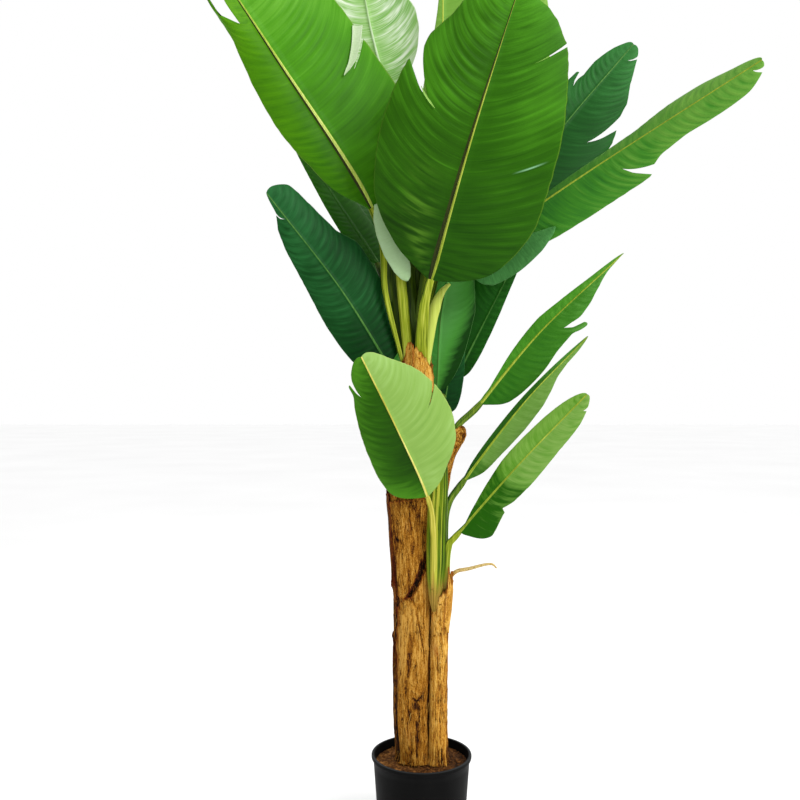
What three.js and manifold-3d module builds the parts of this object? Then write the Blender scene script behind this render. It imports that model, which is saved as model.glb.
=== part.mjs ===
// A potted decorative banana plant: two fibrous stems in a plain round pot, a main crown of
// broad torn leaves and four smaller leaves on a green stalk at the side. Millimetres, +Z up,
// the origin at the middle of the pot's underside. X runs to the right and -Y is the front.
import * as THREE from 'three';
import { ParametricGeometry } from 'three/addons/geometries/ParametricGeometry.js';
import { mergeVertices } from 'three/addons/utils/BufferGeometryUtils.js';
import Module from 'manifold-3d';

const wasm = await Module();
wasm.setup();

// Gap kept between neighbouring solids, and the distance under which two vertices are one.
const GAP = 0.3;
const SAME_POINT = 1e-4;

// Pot: a plain tapered cup with a thin flat rim band.
const POT_HEIGHT = 175;
const POT_RIM_RADIUS = 100;
const POT_MOUTH_RADIUS = 97;
const POT_BASE_RADIUS = 84;
const POT_WALL = 3;
const POT_RIM_DEPTH = 7;
const POT_FLOOR = 5;
const POT_CHAMFER = 2;
const RIM_CHAMFER = 1;
const POT_SEGMENTS = 48;

// Soil fills the pot to a little under the rim and rises to a flat top round the stems.
const SOIL_TOP = 160;
const SOIL_DOME = 4;
const SOIL_SHOULDER = 30;

// Stems: [height, centre x, centre y, radius] from the flat cut at the soil upwards.
const STEM_SIDES = 16;
const STEM_FOOT = SOIL_TOP + SOIL_DOME + GAP;
const MAIN_STEM = [
  [STEM_FOOT, -14, 0, 38],
  [190, -15, 0, 37.5],
  [260, -17, 0, 39],
  [420, -17, 0, 39],
  [500, -17, 0, 39.5],
  [560, -19, 0, 41],
  [640, -22, 0, 43],
  [690, -24, 0, 44],
  [780, -20, 0, 39],
  [850, -14, 0, 33],
  [905, -8, 0, 28],
];
const SIDE_STEM = [
  [STEM_FOOT, 33, -20, 22],
  [190, 33, -20, 19],
  [300, 33, -20, 17.5],
  [420, 34, -20, 17.5],
  [490, 38, -20, 16],
  [508, 40, -20, 12],
];
const SIDE_STALK = [
  [468, 24, -40, 5],
  [500, 26, -38, 13],
  [560, 28, -36, 19],
  [640, 30, -32, 20],
  [720, 34, -26, 18],
  [775, 38, -20, 12],
];
const CROWN_CORE = [
  [905 + GAP, -8, 0, 27],
  [950, -7, 0, 24],
  [1000, -5, 0, 18],
  [1040, -4, 0, 11],
];

// The dried fibre sheath round the foot of the crown: a wall whose upper edge rises to one
// peak at the front left. Heights, radii, the peak's bearing in degrees and its sharpness.
const CAP = {
  centre: [-8, -1],
  foot: 908,
  belly: 932,
  edge: 938,
  peak: 995,
  peakAt: -120,
  sharpness: 1.5,
  footRadius: 32,
  edgeRadius: 25,
};

// Leaf rule. Blade stations run from the collar at 0 to the tip at 1, and a tear adds three of
// its own. A blade's thickness is a share of its length. The stalk turns to blade over the
// collar stretch, given as places along the whole leaf.
const BLADE_STATIONS = [
  0, 0.03, 0.08, 0.14, 0.2, 0.27, 0.34, 0.42, 0.5, 0.58, 0.66, 0.74, 0.81, 0.87, 0.92, 0.97, 1,
];
const STALK_STATIONS = [0, 0.35, 0.7];
const TEAR_CLEARANCE = 0.012;
const BLADE_RATIO = 0.0105;
const COLLAR_STRETCH = [0.46, 0.56];
const RIB_TAPER = 0.8;
const STALK_ROUNDNESS = 0.85;

// What a half has unless it says otherwise. Lists hold pairs of a place along the blade and a
// value, which runs straight between them.
const PLAIN_HALF = {
  start: 0,
  lift: 6,
  curl: -10,
  trim: [[0, 1], [1, 1]],
  sweep: [[0, -14], [0.12, 8], [0.3, 24], [0.6, 38], [1, 38]],
  bend: 1,
};

// Leaves. Points run foot, bend, collar, middle, tip; across gives the way to the right half.
// Each half has its greatest width, how fast it rises from the collar and falls to the tip,
// and where along the blade it starts; trim then scales the width. lift is its slope out of
// the flat at the midrib and curl that slope's change towards the edge, in degrees. sweep is
// how far the side veins lean towards the tip, in degrees, and bend the power of the share of
// the width by which that lean grows. stalk is the stalk's radius at the foot and at the
// collar. Tears are [side, place along the blade, depth as a share of the half's width, opening
// towards the collar, opening towards the tip].
const LEAVES = {
  leaf_front: {
    points: [[1, -22, 960], [8, -42, 1045], [12, -62, 1116], [85, -155, 1358], [182, -175, 1658]],
    across: [0.96, 0.05, -0.25],
    left: {
      width: 186, rise: 0.55, fall: 0.62, lift: 8, curl: -12,
      trim: [[0, 0.62], [0.05, 0.62], [0.1, 0.75], [0.15, 0.92], [0.2, 1], [0.3, 1.03], [0.4, 1], [0.51, 0.97],
        [0.53, 0.88], [0.6, 0.9], [0.7, 0.79], [0.8, 0.75], [1, 0.7]],
    },
    right: {
      width: 173, rise: 0.4, fall: 0.57, lift: 8, curl: -8, bend: 0.4,
      trim: [[0, 1], [0.1, 1], [0.2, 1.1], [0.3, 1.08], [0.6, 1.06], [0.7, 1.02], [0.75, 0.95], [0.8, 0.86],
        [0.9, 0.7], [1, 0.6]],
    },
    stalk: [18, 8],
    tears: [[-1, 0.515, 0.48, 0.004, 0.05], [1, 0.7, 0.48, 0.003, 0.012]], colour: 0x3d7d14,
  },
  leaf_upper_left: {
    points: [[-22, -13, 962], [-80, -30, 1177], [-99, -38, 1258], [-290, -80, 1552], [-461, -150, 1799]],
    across: [0.8, 0.35, 0.5],
    left: {
      width: 84, rise: 0.45, fall: 0.95, lift: 10, curl: -20, bend: 2,
      trim: [[0, 0.5], [0.06, 0.8], [0.15, 1], [0.3, 0.94], [0.42, 0.87], [0.46, 0.88], [0.5, 1.56], [0.55, 1.45],
        [0.62, 1.5], [0.85, 1.05], [1, 1]],
      sweep: [[0, 0], [0.15, 30], [0.3, 16], [0.42, 20], [0.5, 76], [0.6, 76], [0.85, 40], [1, 40]],
    },
    right: {
      width: 200, rise: 0.25, fall: 0.5, lift: 10, curl: -10,
      sweep: [[0, -14], [0.15, 10], [0.3, 24], [0.6, 30], [1, 30]],
    },
    stalk: [7, 7],
    tears: [[1, 0.315, 0.4, 0.004, 0.03], [-1, 0.5, 0.5, 0.002, 0.06]], colour: 0x52961a,
  },
  leaf_left: {
    points: [[-35, -8, 874], [-47, -12, 914], [-67, -12, 952], [-161, -34, 1102], [-302, -60, 1283]],
    across: [0.78, 0.3, 0.55],
    left: {
      width: 53, rise: 0.2, fall: 0.75, lift: 0, curl: -10,
      trim: [[0, 1], [0.1, 1.1], [0.2, 1.24], [0.3, 1.37], [0.5, 1.45], [0.7, 1.6], [0.8, 1.5], [0.9, 1], [1, 1]],
      sweep: [[0, -14], [0.12, 8], [0.3, 24], [0.6, 38], [0.8, 45], [0.88, 62], [1, 50]],
    },
    right: {
      width: 108, rise: 0.5, fall: 0.54, lift: 8, curl: -10,
      trim: [[0, 0.9], [0.1, 0.85], [0.2, 0.76], [0.3, 0.83], [0.5, 0.96], [0.6, 0.8], [0.7, 0.8], [0.8, 0.85],
        [0.9, 0.98], [1, 0.8]],
    },
    stalk: [8, 6],
    tears: [[-1, 0.87, 0.85, 0.004, 0.02]], colour: 0x205e33,
  },
  leaf_left_back: {
    points: [[-27, 12, 975], [-68, 30, 1098], [-90, 46, 1164], [-176, 98, 1302], [-294, 150, 1490]],
    across: [0.6, 0.6, 0.5],
    left: { width: 40, rise: 0.4, fall: 0.7, lift: 8, curl: -12 },
    right: { width: 55, rise: 0.4, fall: 0.7, lift: 8, curl: -12 },
    stalk: [12, 8], tears: [], colour: 0x1f5426,
  },
  leaf_right_long: {
    points: [[13, 2, 1002], [36, 8, 1148], [110, 18, 1192], [348, -42, 1343], [613, -170, 1498]],
    across: [0.4, -0.4, -0.8],
    left: {
      width: 32, rise: 0.5, fall: 0.5, start: 0.2, lift: -10,
      trim: [[0, 1], [0.5, 1], [0.6, 1.15], [0.7, 1.7], [0.8, 1.8], [0.9, 1.55], [0.97, 1.6], [1, 1.6]],
    },
    right: {
      width: 93, rise: 0.45, fall: 0.65, lift: 5,
      trim: [[0, 0.94], [0.1, 0.92], [0.2, 0.98], [0.4, 1], [0.53, 0.98], [0.55, 0.78], [0.6, 0.72], [0.7, 0.72],
        [0.8, 0.9], [0.9, 1.13], [1, 1.1]],
    },
    stalk: [9, 7],
    tears: [[1, 0.535, 0.6, 0.004, 0.03], [1, 0.965, 0.7, 0.003, 0.02]], colour: 0x3f8f35,
  },
  leaf_right_dark: {
    points: [[8, 20, 996], [45, 30, 1085], [140, 58, 1184], [272, 110, 1420], [464, 150, 1655]],
    across: [0.75, -0.1, -0.65],
    left: {
      width: 69, rise: 0.4, fall: 0.5, lift: 8, curl: -8,
      trim: [[0, 1], [0.5, 1], [0.6, 1.2], [0.695, 1.4], [0.71, 1], [0.8, 1.05], [0.9, 0.98], [0.96, 0.85], [1, 0.8]],
      sweep: [[0, -14], [0.3, 24], [0.6, 44], [0.7, 52], [0.8, 44], [1, 38]],
    },
    right: {
      width: 79, rise: 0.35, fall: 0.5, lift: 8, curl: -8,
      trim: [[0, 1], [0.4, 1.3], [0.5, 1.6], [0.56, 1.78], [0.6, 1.4], [0.7, 1.4], [0.8, 1.15], [0.9, 1], [1, 0.9]],
      sweep: [[0, -14], [0.3, 24], [0.57, 45], [1, 40]],
    },
    stalk: [8, 7],
    tears: [[-1, 0.7, 0.42, 0.004, 0.02], [1, 0.553, 0.52, 0.004, 0.09], [1, 0.93, 0.7, 0.004, 0.012]],
    colour: 0x267236,
  },
  leaf_top_left: {
    points: [[-18, 16, 987], [-30, 46, 1200], [-58, 66, 1453], [-110, 90, 1692], [-160, 105, 1996]],
    across: [-0.97, 0, -0.2],
    left: {
      width: 101, rise: 0.4, fall: 0.6, lift: 5, curl: -12,
      trim: [[0, 0.6], [0.1, 0.35], [0.2, 0.45], [0.3, 0.78], [0.4, 1.06], [0.5, 1.05], [1, 1]],
    },
    right: { width: 95, rise: 0.4, fall: 0.6, lift: 5, curl: -12 },
    stalk: [9, 8], tears: [], colour: 0x86bd62,
  },
  leaf_top: {
    points: [[-12, -6, 984], [14, -12, 1203], [30, -8, 1424], [44, 20, 1654], [40, 60, 1938]],
    across: [0.99, 0, 0],
    left: { width: 34, rise: 0.4, fall: 2.4, lift: 5, curl: -12 },
    right: { width: 120, rise: 0.4, fall: 0.7, lift: 5, curl: -12 },
    stalk: [10, 8], tears: [], colour: 0x86bb4a,
  },
  leaf_top_right: {
    points: [[-3, 14, 987], [39, 35, 1168], [119, 65, 1360], [177, 85, 1638], [202, 110, 1914]],
    across: [0.98, 0, -0.1],
    left: { width: 90, rise: 0.4, fall: 0.7, curl: -12 },
    right: { width: 112, rise: 0.4, fall: 0.7, curl: -12 },
    stalk: [9, 7], tears: [], colour: 0x86bb4a,
  },
  leaf_lower_right: {
    points: [[8, 26, 868], [38, 62, 884], [73, 94, 926], [146, 100, 1068], [238, 105, 1250]],
    across: [0.85, 0.1, -0.5],
    left: { width: 46, rise: 0.4, fall: 0.7 },
    right: { width: 27, rise: 0.4, fall: 0.7 },
    stalk: [7, 6], tears: [], colour: 0x1f5426,
  },
  leaf_lower_mid: {
    points: [[2, 26, 918], [18, 42, 905], [32, 56, 900], [42, 64, 1058], [72, 70, 1220]],
    across: [0.98, 0.1, 0],
    left: { width: 22, rise: 0.45, fall: 0.6 },
    right: { width: 82, rise: 0.4, fall: 0.6, trim: [[0, 0.5], [0.1, 0.5], [0.2, 0.7], [0.3, 0.87], [0.42, 1.02], [1, 1]] },
    stalk: [7, 6], tears: [], colour: 0x3d8a3c,
  },
  leaf_lower_small: {
    points: [[-4, 30, 842], [22, 54, 842], [44, 70, 856], [60, 74, 934], [78, 76, 1030]],
    across: [0.98, 0.1, 0],
    left: { width: 36, rise: 0.4, fall: 0.6 },
    right: { width: 36, rise: 0.4, fall: 0.6 },
    stalk: [6, 5], tears: [], colour: 0x3d8a3c,
  },
  leaf_low_front: {
    points: [[29, -50, 559], [25, -60, 630], [9, -76, 698], [-48, -135, 827], [-113, -172, 960]],
    across: [0.9, 0, 0.44],
    left: {
      width: 78, rise: 0.3, fall: 0.62, lift: 4, curl: -12,
      trim: [[0, 1], [0.66, 1], [0.705, 1.2], [0.725, 1], [1, 0.95]],
      sweep: [[0, -14], [0.12, 8], [0.3, 24], [0.6, 38], [0.72, 50], [0.85, 40], [1, 38]],
    },
    right: {
      width: 112, rise: 0.55, fall: 0.6, lift: 4, curl: -12,
      trim: [[0, 0.8], [0.05, 0.75], [0.1, 0.75], [0.15, 0.95], [0.2, 1.1], [0.3, 1.15], [0.4, 1.08], [0.5, 1],
        [0.6, 0.91], [0.7, 0.79], [0.8, 0.68], [0.9, 0.62], [1, 0.6]],
    },
    stalk: [7, 5],
    tears: [[1, 0.455, 0.45, 0.003, 0.014], [-1, 0.715, 0.42, 0.004, 0.03]], colour: 0x6fae3c,
  },
  leaf_side_upper: {
    points: [[38, -20, 684], [62, -5, 812], [120, 8, 876], [244, 15, 1023], [413, 30, 1181]],
    across: [0.7, -0.2, -0.68],
    left: {
      width: 37, rise: 0.5, fall: 0.6,
      trim: [[0, 0.5], [0.1, 0.25], [0.2, 0.38], [0.3, 0.55], [0.5, 0.76], [0.7, 0.62], [0.8, 0.55], [1, 0.5]],
    },
    right: {
      width: 50, rise: 0.5, fall: 1.15,
      trim: [[0, 1], [0.1, 1.1], [0.2, 1.17], [0.3, 1.26], [0.4, 1.25], [0.5, 1.45], [0.535, 2.15], [0.56, 1.25],
        [0.7, 1.25], [0.8, 1], [0.9, 0.5], [1, 0.4]],
      sweep: [[0, -14], [0.12, 8], [0.3, 24], [0.5, 40], [0.54, 48], [0.62, 40], [1, 38]],
    },
    stalk: [7, 6],
    tears: [[1, 0.55, 0.55, 0.004, 0.05]], colour: 0x4d9a35,
  },
  leaf_side_mid: {
    points: [[46, -20, 585], [51, -18, 668], [86, -16, 725], [204, -18, 878], [328, -25, 1008]],
    across: [0.7, 0.3, -0.65],
    left: { width: 14, rise: 0.4, fall: 0.6, lift: 20 },
    right: {
      width: 34, rise: 0.5, fall: 0.75, lift: 20,
      trim: [[0, 1], [0.2, 1], [0.35, 1.2], [0.5, 1.2], [0.6, 1], [0.7, 0.65], [0.8, 0.5], [0.9, 0.6], [1, 0.6]],
    },
    stalk: [6, 5], tears: [], colour: 0x6aaa4c,
  },
  leaf_side_low: {
    points: [[47, -34, 508], [51, -40, 590], [74, -44, 625], [190, -60, 760], [315, -80, 893]],
    across: [0.7, -0.1, -0.7],
    left: {
      width: 37, rise: 0.8, fall: 0.65, start: 0.06,
      trim: [[0, 1], [0.1, 0.6], [0.2, 0.7], [0.3, 0.87], [0.4, 1], [1, 1]],
    },
    right: {
      width: 50, rise: 0.28, fall: 0.5,
      trim: [[0, 1], [0.05, 1.25], [0.1, 1.3], [0.15, 1.12], [0.2, 0.96], [0.25, 0.86], [0.4, 1], [0.6, 1.05],
        [0.8, 1.12], [0.9, 1.02], [1, 0.85]],
    },
    stalk: [6, 5],
    tears: [[1, 0.25, 0.2, 0.02, 0.05], [1, 0.9, 0.25, 0.01, 0.02]], colour: 0x5fae35,
  },
  leaf_back_left: {
    points: [[-25, 24, 985], [-42, 60, 1060], [-55, 95, 1130], [-110, 260, 1340], [-170, 440, 1400]],
    across: [-0.92, -0.3, 0],
    left: { width: 78, rise: 0.4, fall: 0.7, lift: 10, curl: -16 },
    right: { width: 78, rise: 0.4, fall: 0.7, lift: 10, curl: -16 },
    stalk: [9, 7], tears: [[1, 0.6, 0.4, 0.004, 0.05]], colour: 0x3f8f2a,
  },
  leaf_back_mid: {
    points: [[-8, 27, 990], [-14, 60, 1075], [-10, 110, 1165], [25, 300, 1410], [60, 490, 1545]],
    across: [-1, 0, 0],
    left: { width: 86, rise: 0.4, fall: 0.7, lift: 10, curl: -16 },
    right: { width: 86, rise: 0.4, fall: 0.7, lift: 10, curl: -16 },
    stalk: [9, 7], tears: [[-1, 0.7, 0.4, 0.004, 0.05]], colour: 0x47952a,
  },
  leaf_back_right: {
    points: [[12, 26, 985], [14, 66, 1058], [50, 118, 1125], [165, 250, 1292], [300, 405, 1330]],
    across: [-0.8, 0.55, 0],
    left: { width: 76, rise: 0.4, fall: 0.7, lift: 10, curl: -16 },
    right: { width: 76, rise: 0.4, fall: 0.7, lift: 10, curl: -16 },
    stalk: [9, 7], tears: [[-1, 0.5, 0.4, 0.004, 0.05]], colour: 0x3a8530,
  },
  leaf_back_low: {
    points: [[-8, 28, 955], [-12, 62, 1010], [-16, 100, 1045], [-30, 265, 1080], [-40, 400, 940]],
    across: [-1, 0, 0],
    left: { width: 68, rise: 0.4, fall: 0.7, lift: 10, curl: -14 },
    right: { width: 68, rise: 0.4, fall: 0.7, lift: 10, curl: -14 },
    stalk: [8, 6], tears: [[1, 0.7, 0.4, 0.004, 0.05]], colour: 0x2f7a35,
  },
  leaf_back_high: {
    points: [[3, 26, 998], [8, 58, 1110], [14, 94, 1225], [55, 190, 1500], [90, 300, 1750]],
    across: [-1, 0, 0],
    left: { width: 88, rise: 0.4, fall: 0.7, lift: 8, curl: -14 },
    right: { width: 88, rise: 0.4, fall: 0.7, lift: 8, curl: -14 },
    stalk: [9, 7], tears: [[1, 0.8, 0.4, 0.004, 0.05]], colour: 0x52a02c,
  },
};

// Small round pieces: points along each and the radius at the foot, middle and tip.
const TWIG_SIDES = 8;
const TWIG_STATIONS = [0, 0.25, 0.5, 0.75, 1];
const TWIG_ACROSS = [0.3, 1, 0.1];
const TWIGS = {
  young_shoot: {
    points: [[8, -10, 950], [17, -12, 992], [23, -12, 1022], [37, -12, 1062], [57, -12, 1113]],
    radii: [9, 8, 1.5], colour: 0xa9c43c,
  },
  cut_stub: {
    points: [[43, -14, 694], [50, -14, 735], [57, -14, 765], [66, -14, 793], [77, -14, 818]],
    radii: [8, 8, 13], colour: 0xa9702e,
  },
  dry_tail: {
    points: [[42, -22, 500], [62, -21, 538], [96, -22, 549], [135, -24, 558], [148, -24, 550]],
    radii: [6, 4, 2], colour: 0xd8b45a,
  },
};

const { degToRad, lerp, smoothstep } = THREE.MathUtils;

// A closed geometry with shared vertices as a solid for cutting.
function toSolid(geometry) {
  geometry.deleteAttribute('normal');
  geometry.deleteAttribute('uv');
  const merged = mergeVertices(geometry, SAME_POINT);
  const index = merged.index.array;
  const kept = [];
  for (let i = 0; i < index.length; i += 3) {
    const [a, b, c] = [index[i], index[i + 1], index[i + 2]];
    if (a !== b && b !== c && c !== a) kept.push(a, b, c);
  }
  return new wasm.Manifold(new wasm.Mesh({
    numProp: 3,
    vertProperties: new Float32Array(merged.attributes.position.array),
    triVerts: new Uint32Array(kept),
  }));
}

// A solid with every one of the others cut away, and only its largest piece kept.
function clearOf(solid, others) {
  const cut = others.reduce((rest, other) => rest.subtract(other), solid);
  return cut.decompose().sort((a, b) => b.volume() - a.volume())[0];
}

function toMesh(name, solid, color, roughness) {
  const { numProp, vertProperties, triVerts } = solid.getMesh();
  const count = vertProperties.length / numProp;
  const position = new Float32Array(count * 3);
  for (let i = 0; i < count; i += 1) {
    position.set(vertProperties.subarray(i * numProp, i * numProp + 3), i * 3);
  }
  const geometry = new THREE.BufferGeometry();
  geometry.setAttribute('position', new THREE.BufferAttribute(position, 3));
  geometry.setIndex(new THREE.BufferAttribute(new Uint32Array(triVerts), 1));
  geometry.computeVertexNormals();
  const mesh = new THREE.Mesh(geometry, new THREE.MeshStandardMaterial({ color, roughness }));
  mesh.name = name;
  return mesh;
}

// A closed body swept through rings of points, each ring with the same count of points. The
// first and the last ring are closed by a fan to their middle.
function loft(rings) {
  const count = rings[0].length;
  const middle = (ring) => ring.reduce((sum, p) => sum.add(p), new THREE.Vector3()).divideScalar(count);
  const first = Array(count).fill(middle(rings[0]));
  const last = Array(count).fill(middle(rings[rings.length - 1]));
  const all = [first, ...rings, last];
  const steps = all.length - 1;
  const surface = (u, v, target) => {
    target.copy(all[Math.round(v * steps)][Math.round(u * count) % count]);
  };
  return toSolid(new ParametricGeometry(surface, count, steps));
}

// A profile of [radius, height] turned about the upright axis.
function turned(profile) {
  const points = profile.map(([r, z]) => new THREE.Vector2(r, z));
  const geometry = new THREE.LatheGeometry(points, POT_SEGMENTS);
  geometry.rotateX(Math.PI / 2);
  return toSolid(geometry);
}

function levelRing(z, x, y, radius) {
  const ring = [];
  for (let k = 0; k < STEM_SIDES; k += 1) {
    const angle = (2 * Math.PI * k) / STEM_SIDES;
    ring.push(new THREE.Vector3(x + radius * Math.cos(angle), y + radius * Math.sin(angle), z));
  }
  return ring;
}

// How far a grown copy reaches past its first and its last ring.
function endShift(i, count, grow) {
  if (i === 0) return -grow;
  return i === count - 1 ? grow : 0;
}

// A leaning stem of round rings at the listed heights, grown on all sides by the last value.
function stem(stations, grow = 0) {
  return loft(stations.map(([z, x, y, radius], i) => (
    levelRing(z + endShift(i, stations.length, grow), x, y, radius + grow)
  )));
}

function curveThrough(points) {
  return new THREE.CatmullRomCurve3(points.map((p) => new THREE.Vector3(...p)), false, 'catmullrom', 0.5);
}

// The place on a curve with the way along it, the way across and the way up from both.
function frameAt(curve, u, across, shift) {
  const along = curve.getTangent(u);
  const origin = curve.getPoint(u).addScaledVector(along, shift);
  const side = new THREE.Vector3(...across);
  side.addScaledVector(along, -side.dot(along)).normalize();
  return { origin, along, side, up: new THREE.Vector3().crossVectors(side, along) };
}

// A round twig whose radius runs in two straight stretches from foot to middle to tip.
function twig({ points, radii }, grow = 0) {
  const curve = curveThrough(points);
  const [foot, middle, tip] = radii;
  return loft(TWIG_STATIONS.map((u, i) => {
    const { origin, side, up } = frameAt(curve, u, TWIG_ACROSS, endShift(i, TWIG_STATIONS.length, grow));
    const bare = u < 0.5 ? lerp(foot, middle, u * 2) : lerp(middle, tip, u * 2 - 1);
    const ring = [];
    for (let k = 0; k < TWIG_SIDES; k += 1) {
      const angle = (-2 * Math.PI * k) / TWIG_SIDES;
      const p = origin.clone().addScaledVector(side, (bare + grow) * Math.cos(angle));
      ring.push(p.addScaledVector(up, (bare + grow) * Math.sin(angle)));
    }
    return ring;
  }));
}

// The value at a place from a list of places and values.
function valueAt(pairs, place) {
  const next = pairs.findIndex(([p]) => p >= place);
  if (next <= 0) return pairs[0][1];
  const [[from, low], [to, high]] = [pairs[next - 1], pairs[next]];
  return lerp(low, high, (place - from) / (to - from));
}

// Half width of a blade at s: it rises from its start, is greatest where the two powers
// balance and falls to nothing at the tip, and the trim scales it.
function halfWidth({ width, rise, fall, start, trim }, s) {
  const t = Math.max(0, (s - start) / (1 - start));
  const peak = rise / (rise + fall);
  return (width * t ** rise * (1 - t) ** fall * valueAt(trim, s)) / (peak ** rise * (1 - peak) ** fall);
}

// The share of a half's width that the tears on that side leave at s.
function tearFactor(tears, half, s) {
  const left = tears.filter(([side]) => side === half).map(([, at, depth, below, above]) => (
    1 - depth * Math.max(0, 1 - Math.abs(s - at) / (s < at ? below : above))
  ));
  return Math.min(1, ...left);
}

// Places along a whole leaf: its stalk fills the first half and its blade the second.
function leafStations(tears) {
  const cuts = tears.flatMap(([, at, , below, above]) => [at - below, at, at + above]);
  const clear = BLADE_STATIONS.filter((s) => cuts.every((c) => Math.abs(c - s) > TEAR_CLEARANCE));
  const blade = [...clear, ...cuts].sort((a, b) => a - b);
  return [...STALK_STATIONS.map((s) => s / 2), ...blade.map((s) => (1 + s) / 2)];
}

// A leaf with its stalk: one ring of ten points per station, five on the upper side from the
// left edge to the right and five back along the underside.
function leaf(spec, grow = 0) {
  const curve = curveThrough(spec.points);
  const [, , collar, middle, tip] = spec.points.map((p) => new THREE.Vector3(...p));
  const length = collar.distanceTo(middle) + middle.distanceTo(tip);
  const half = (length * BLADE_RATIO) / 2;
  const stations = leafStations(spec.tears);
  return loft(stations.map((u, i) => {
    const { origin, along, side, up } = frameAt(curve, u, spec.across, endShift(i, stations.length, grow));
    const s = Math.max(0, u * 2 - 1);
    const rib = Math.max(half, lerp(...spec.stalk, Math.min(1, u * 2)) * (1 - s) ** RIB_TAPER);
    const bladeness = smoothstep(u, ...COLLAR_STRETCH);
    const point = (t, face) => {
      const sign = t < 0 ? -1 : 1;
      const blade = { ...PLAIN_HALF, ...(t < 0 ? spec.left : spec.right) };
      const f = Math.abs(t);
      const open = halfWidth(blade, s) * tearFactor(spec.tears, sign, s);
      const width = (Math.max(rib, open) + grow) * f;
      const slope = degToRad(blade.lift + blade.curl * f) * bladeness;
      const lean = degToRad(valueAt(blade.sweep, s)) * bladeness * f ** blade.bend;
      const round = rib * Math.sqrt(1 - STALK_ROUNDNESS * f * f);
      const thick = face * (lerp(round, f === 0 ? rib : half, bladeness) + grow);
      const flat = width * Math.cos(slope);
      const outward = flat * Math.cos(lean) - thick * Math.sin(slope) * Math.min(1, f * 2);
      return origin.clone()
        .addScaledVector(side, sign * outward)
        .addScaledVector(along, width * Math.sin(lean))
        .addScaledVector(up, width * Math.sin(slope) + thick * Math.cos(slope));
    };
    const upper = [-1, -0.5, 0, 0.5, 1].map((t) => point(t, 1));
    const lower = [1, 0.5, 0, -0.5, -1].map((t) => point(t, -1));
    return [...upper, ...lower];
  }));
}

// Radius of the pot's outer face at a height.
function potRadius(z) {
  return lerp(POT_BASE_RADIUS, POT_MOUTH_RADIUS, z / POT_HEIGHT);
}

function pot() {
  const band = POT_HEIGHT - POT_RIM_DEPTH;
  return turned([
    [0, 0],
    [POT_BASE_RADIUS - POT_CHAMFER, 0],
    [potRadius(POT_CHAMFER), POT_CHAMFER],
    [potRadius(band), band],
    [POT_RIM_RADIUS, band + RIM_CHAMFER],
    [POT_RIM_RADIUS, POT_HEIGHT - RIM_CHAMFER],
    [POT_RIM_RADIUS - RIM_CHAMFER, POT_HEIGHT],
    [POT_MOUTH_RADIUS - POT_WALL, POT_HEIGHT],
    [potRadius(POT_FLOOR) - POT_WALL, POT_FLOOR],
    [0, POT_FLOOR],
  ]);
}

function soil() {
  const foot = POT_FLOOR + GAP;
  const clearance = POT_WALL + GAP;
  const rim = potRadius(SOIL_TOP) - clearance;
  return turned([
    [0, foot],
    [potRadius(foot) - clearance, foot],
    [rim, SOIL_TOP],
    [rim - SOIL_SHOULDER, SOIL_TOP + SOIL_DOME],
    [0, SOIL_TOP + SOIL_DOME],
  ]);
}

function fibreCap() {
  const [x, y] = CAP.centre;
  const foot = levelRing(CAP.foot, x, y, CAP.footRadius);
  const belly = levelRing(CAP.belly, x, y, CAP.footRadius);
  const edge = levelRing(CAP.edge, x, y, CAP.edgeRadius);
  edge.forEach((p) => {
    const turn = Math.atan2(p.y - y, p.x - x) - degToRad(CAP.peakAt);
    p.z += (CAP.peak - CAP.edge) * Math.max(0, Math.cos(turn)) ** CAP.sharpness;
  });
  return loft([foot, belly, edge]);
}

const group = new THREE.Group();
group.add(toMesh('pot', pot(), 0x1b1c1e, 0.55));
group.add(toMesh('soil', soil(), 0x2f2014, 0.95));

// The stems come first, each clear of those before it. Everything made so far is kept, grown
// by the gap, so that what comes later is cut to stay clear of it.
const made = [];
const STEMS = {
  main_stem: [MAIN_STEM, 0xb07a35, 0.85],
  side_stem: [SIDE_STEM, 0xc08a3c, 0.85],
  side_stalk: [SIDE_STALK, 0x9dbb3a, 0.6],
  crown_core: [CROWN_CORE, 0x5f8f2a, 0.6],
};
for (const [name, [stations, colour, roughness]] of Object.entries(STEMS)) {
  group.add(toMesh(name, clearOf(stem(stations), made), colour, roughness));
  made.push(stem(stations, GAP));
}
for (const [name, spec] of Object.entries(LEAVES)) {
  group.add(toMesh(name, clearOf(leaf(spec), made), spec.colour, 0.5));
  made.push(leaf(spec, GAP));
}
for (const [name, spec] of Object.entries(TWIGS)) {
  group.add(toMesh(name, clearOf(twig(spec), made), spec.colour, 0.7));
  made.push(twig(spec, GAP));
}
group.add(toMesh('fibre_cap', clearOf(fibreCap(), made), 0xa0692f, 0.9));

export default group;
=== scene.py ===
"""Looks of a potted decorative banana plant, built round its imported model.

Shapes are worked out in millimetres in the part's own frame: +Z up, the origin at the middle
of the pot's underside, X to the right and -Y the front. They go into meshes in metres.
"""

import functools
import logging
import math
from collections.abc import Sequence
from dataclasses import dataclass, field
from enum import Enum, IntEnum

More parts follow.
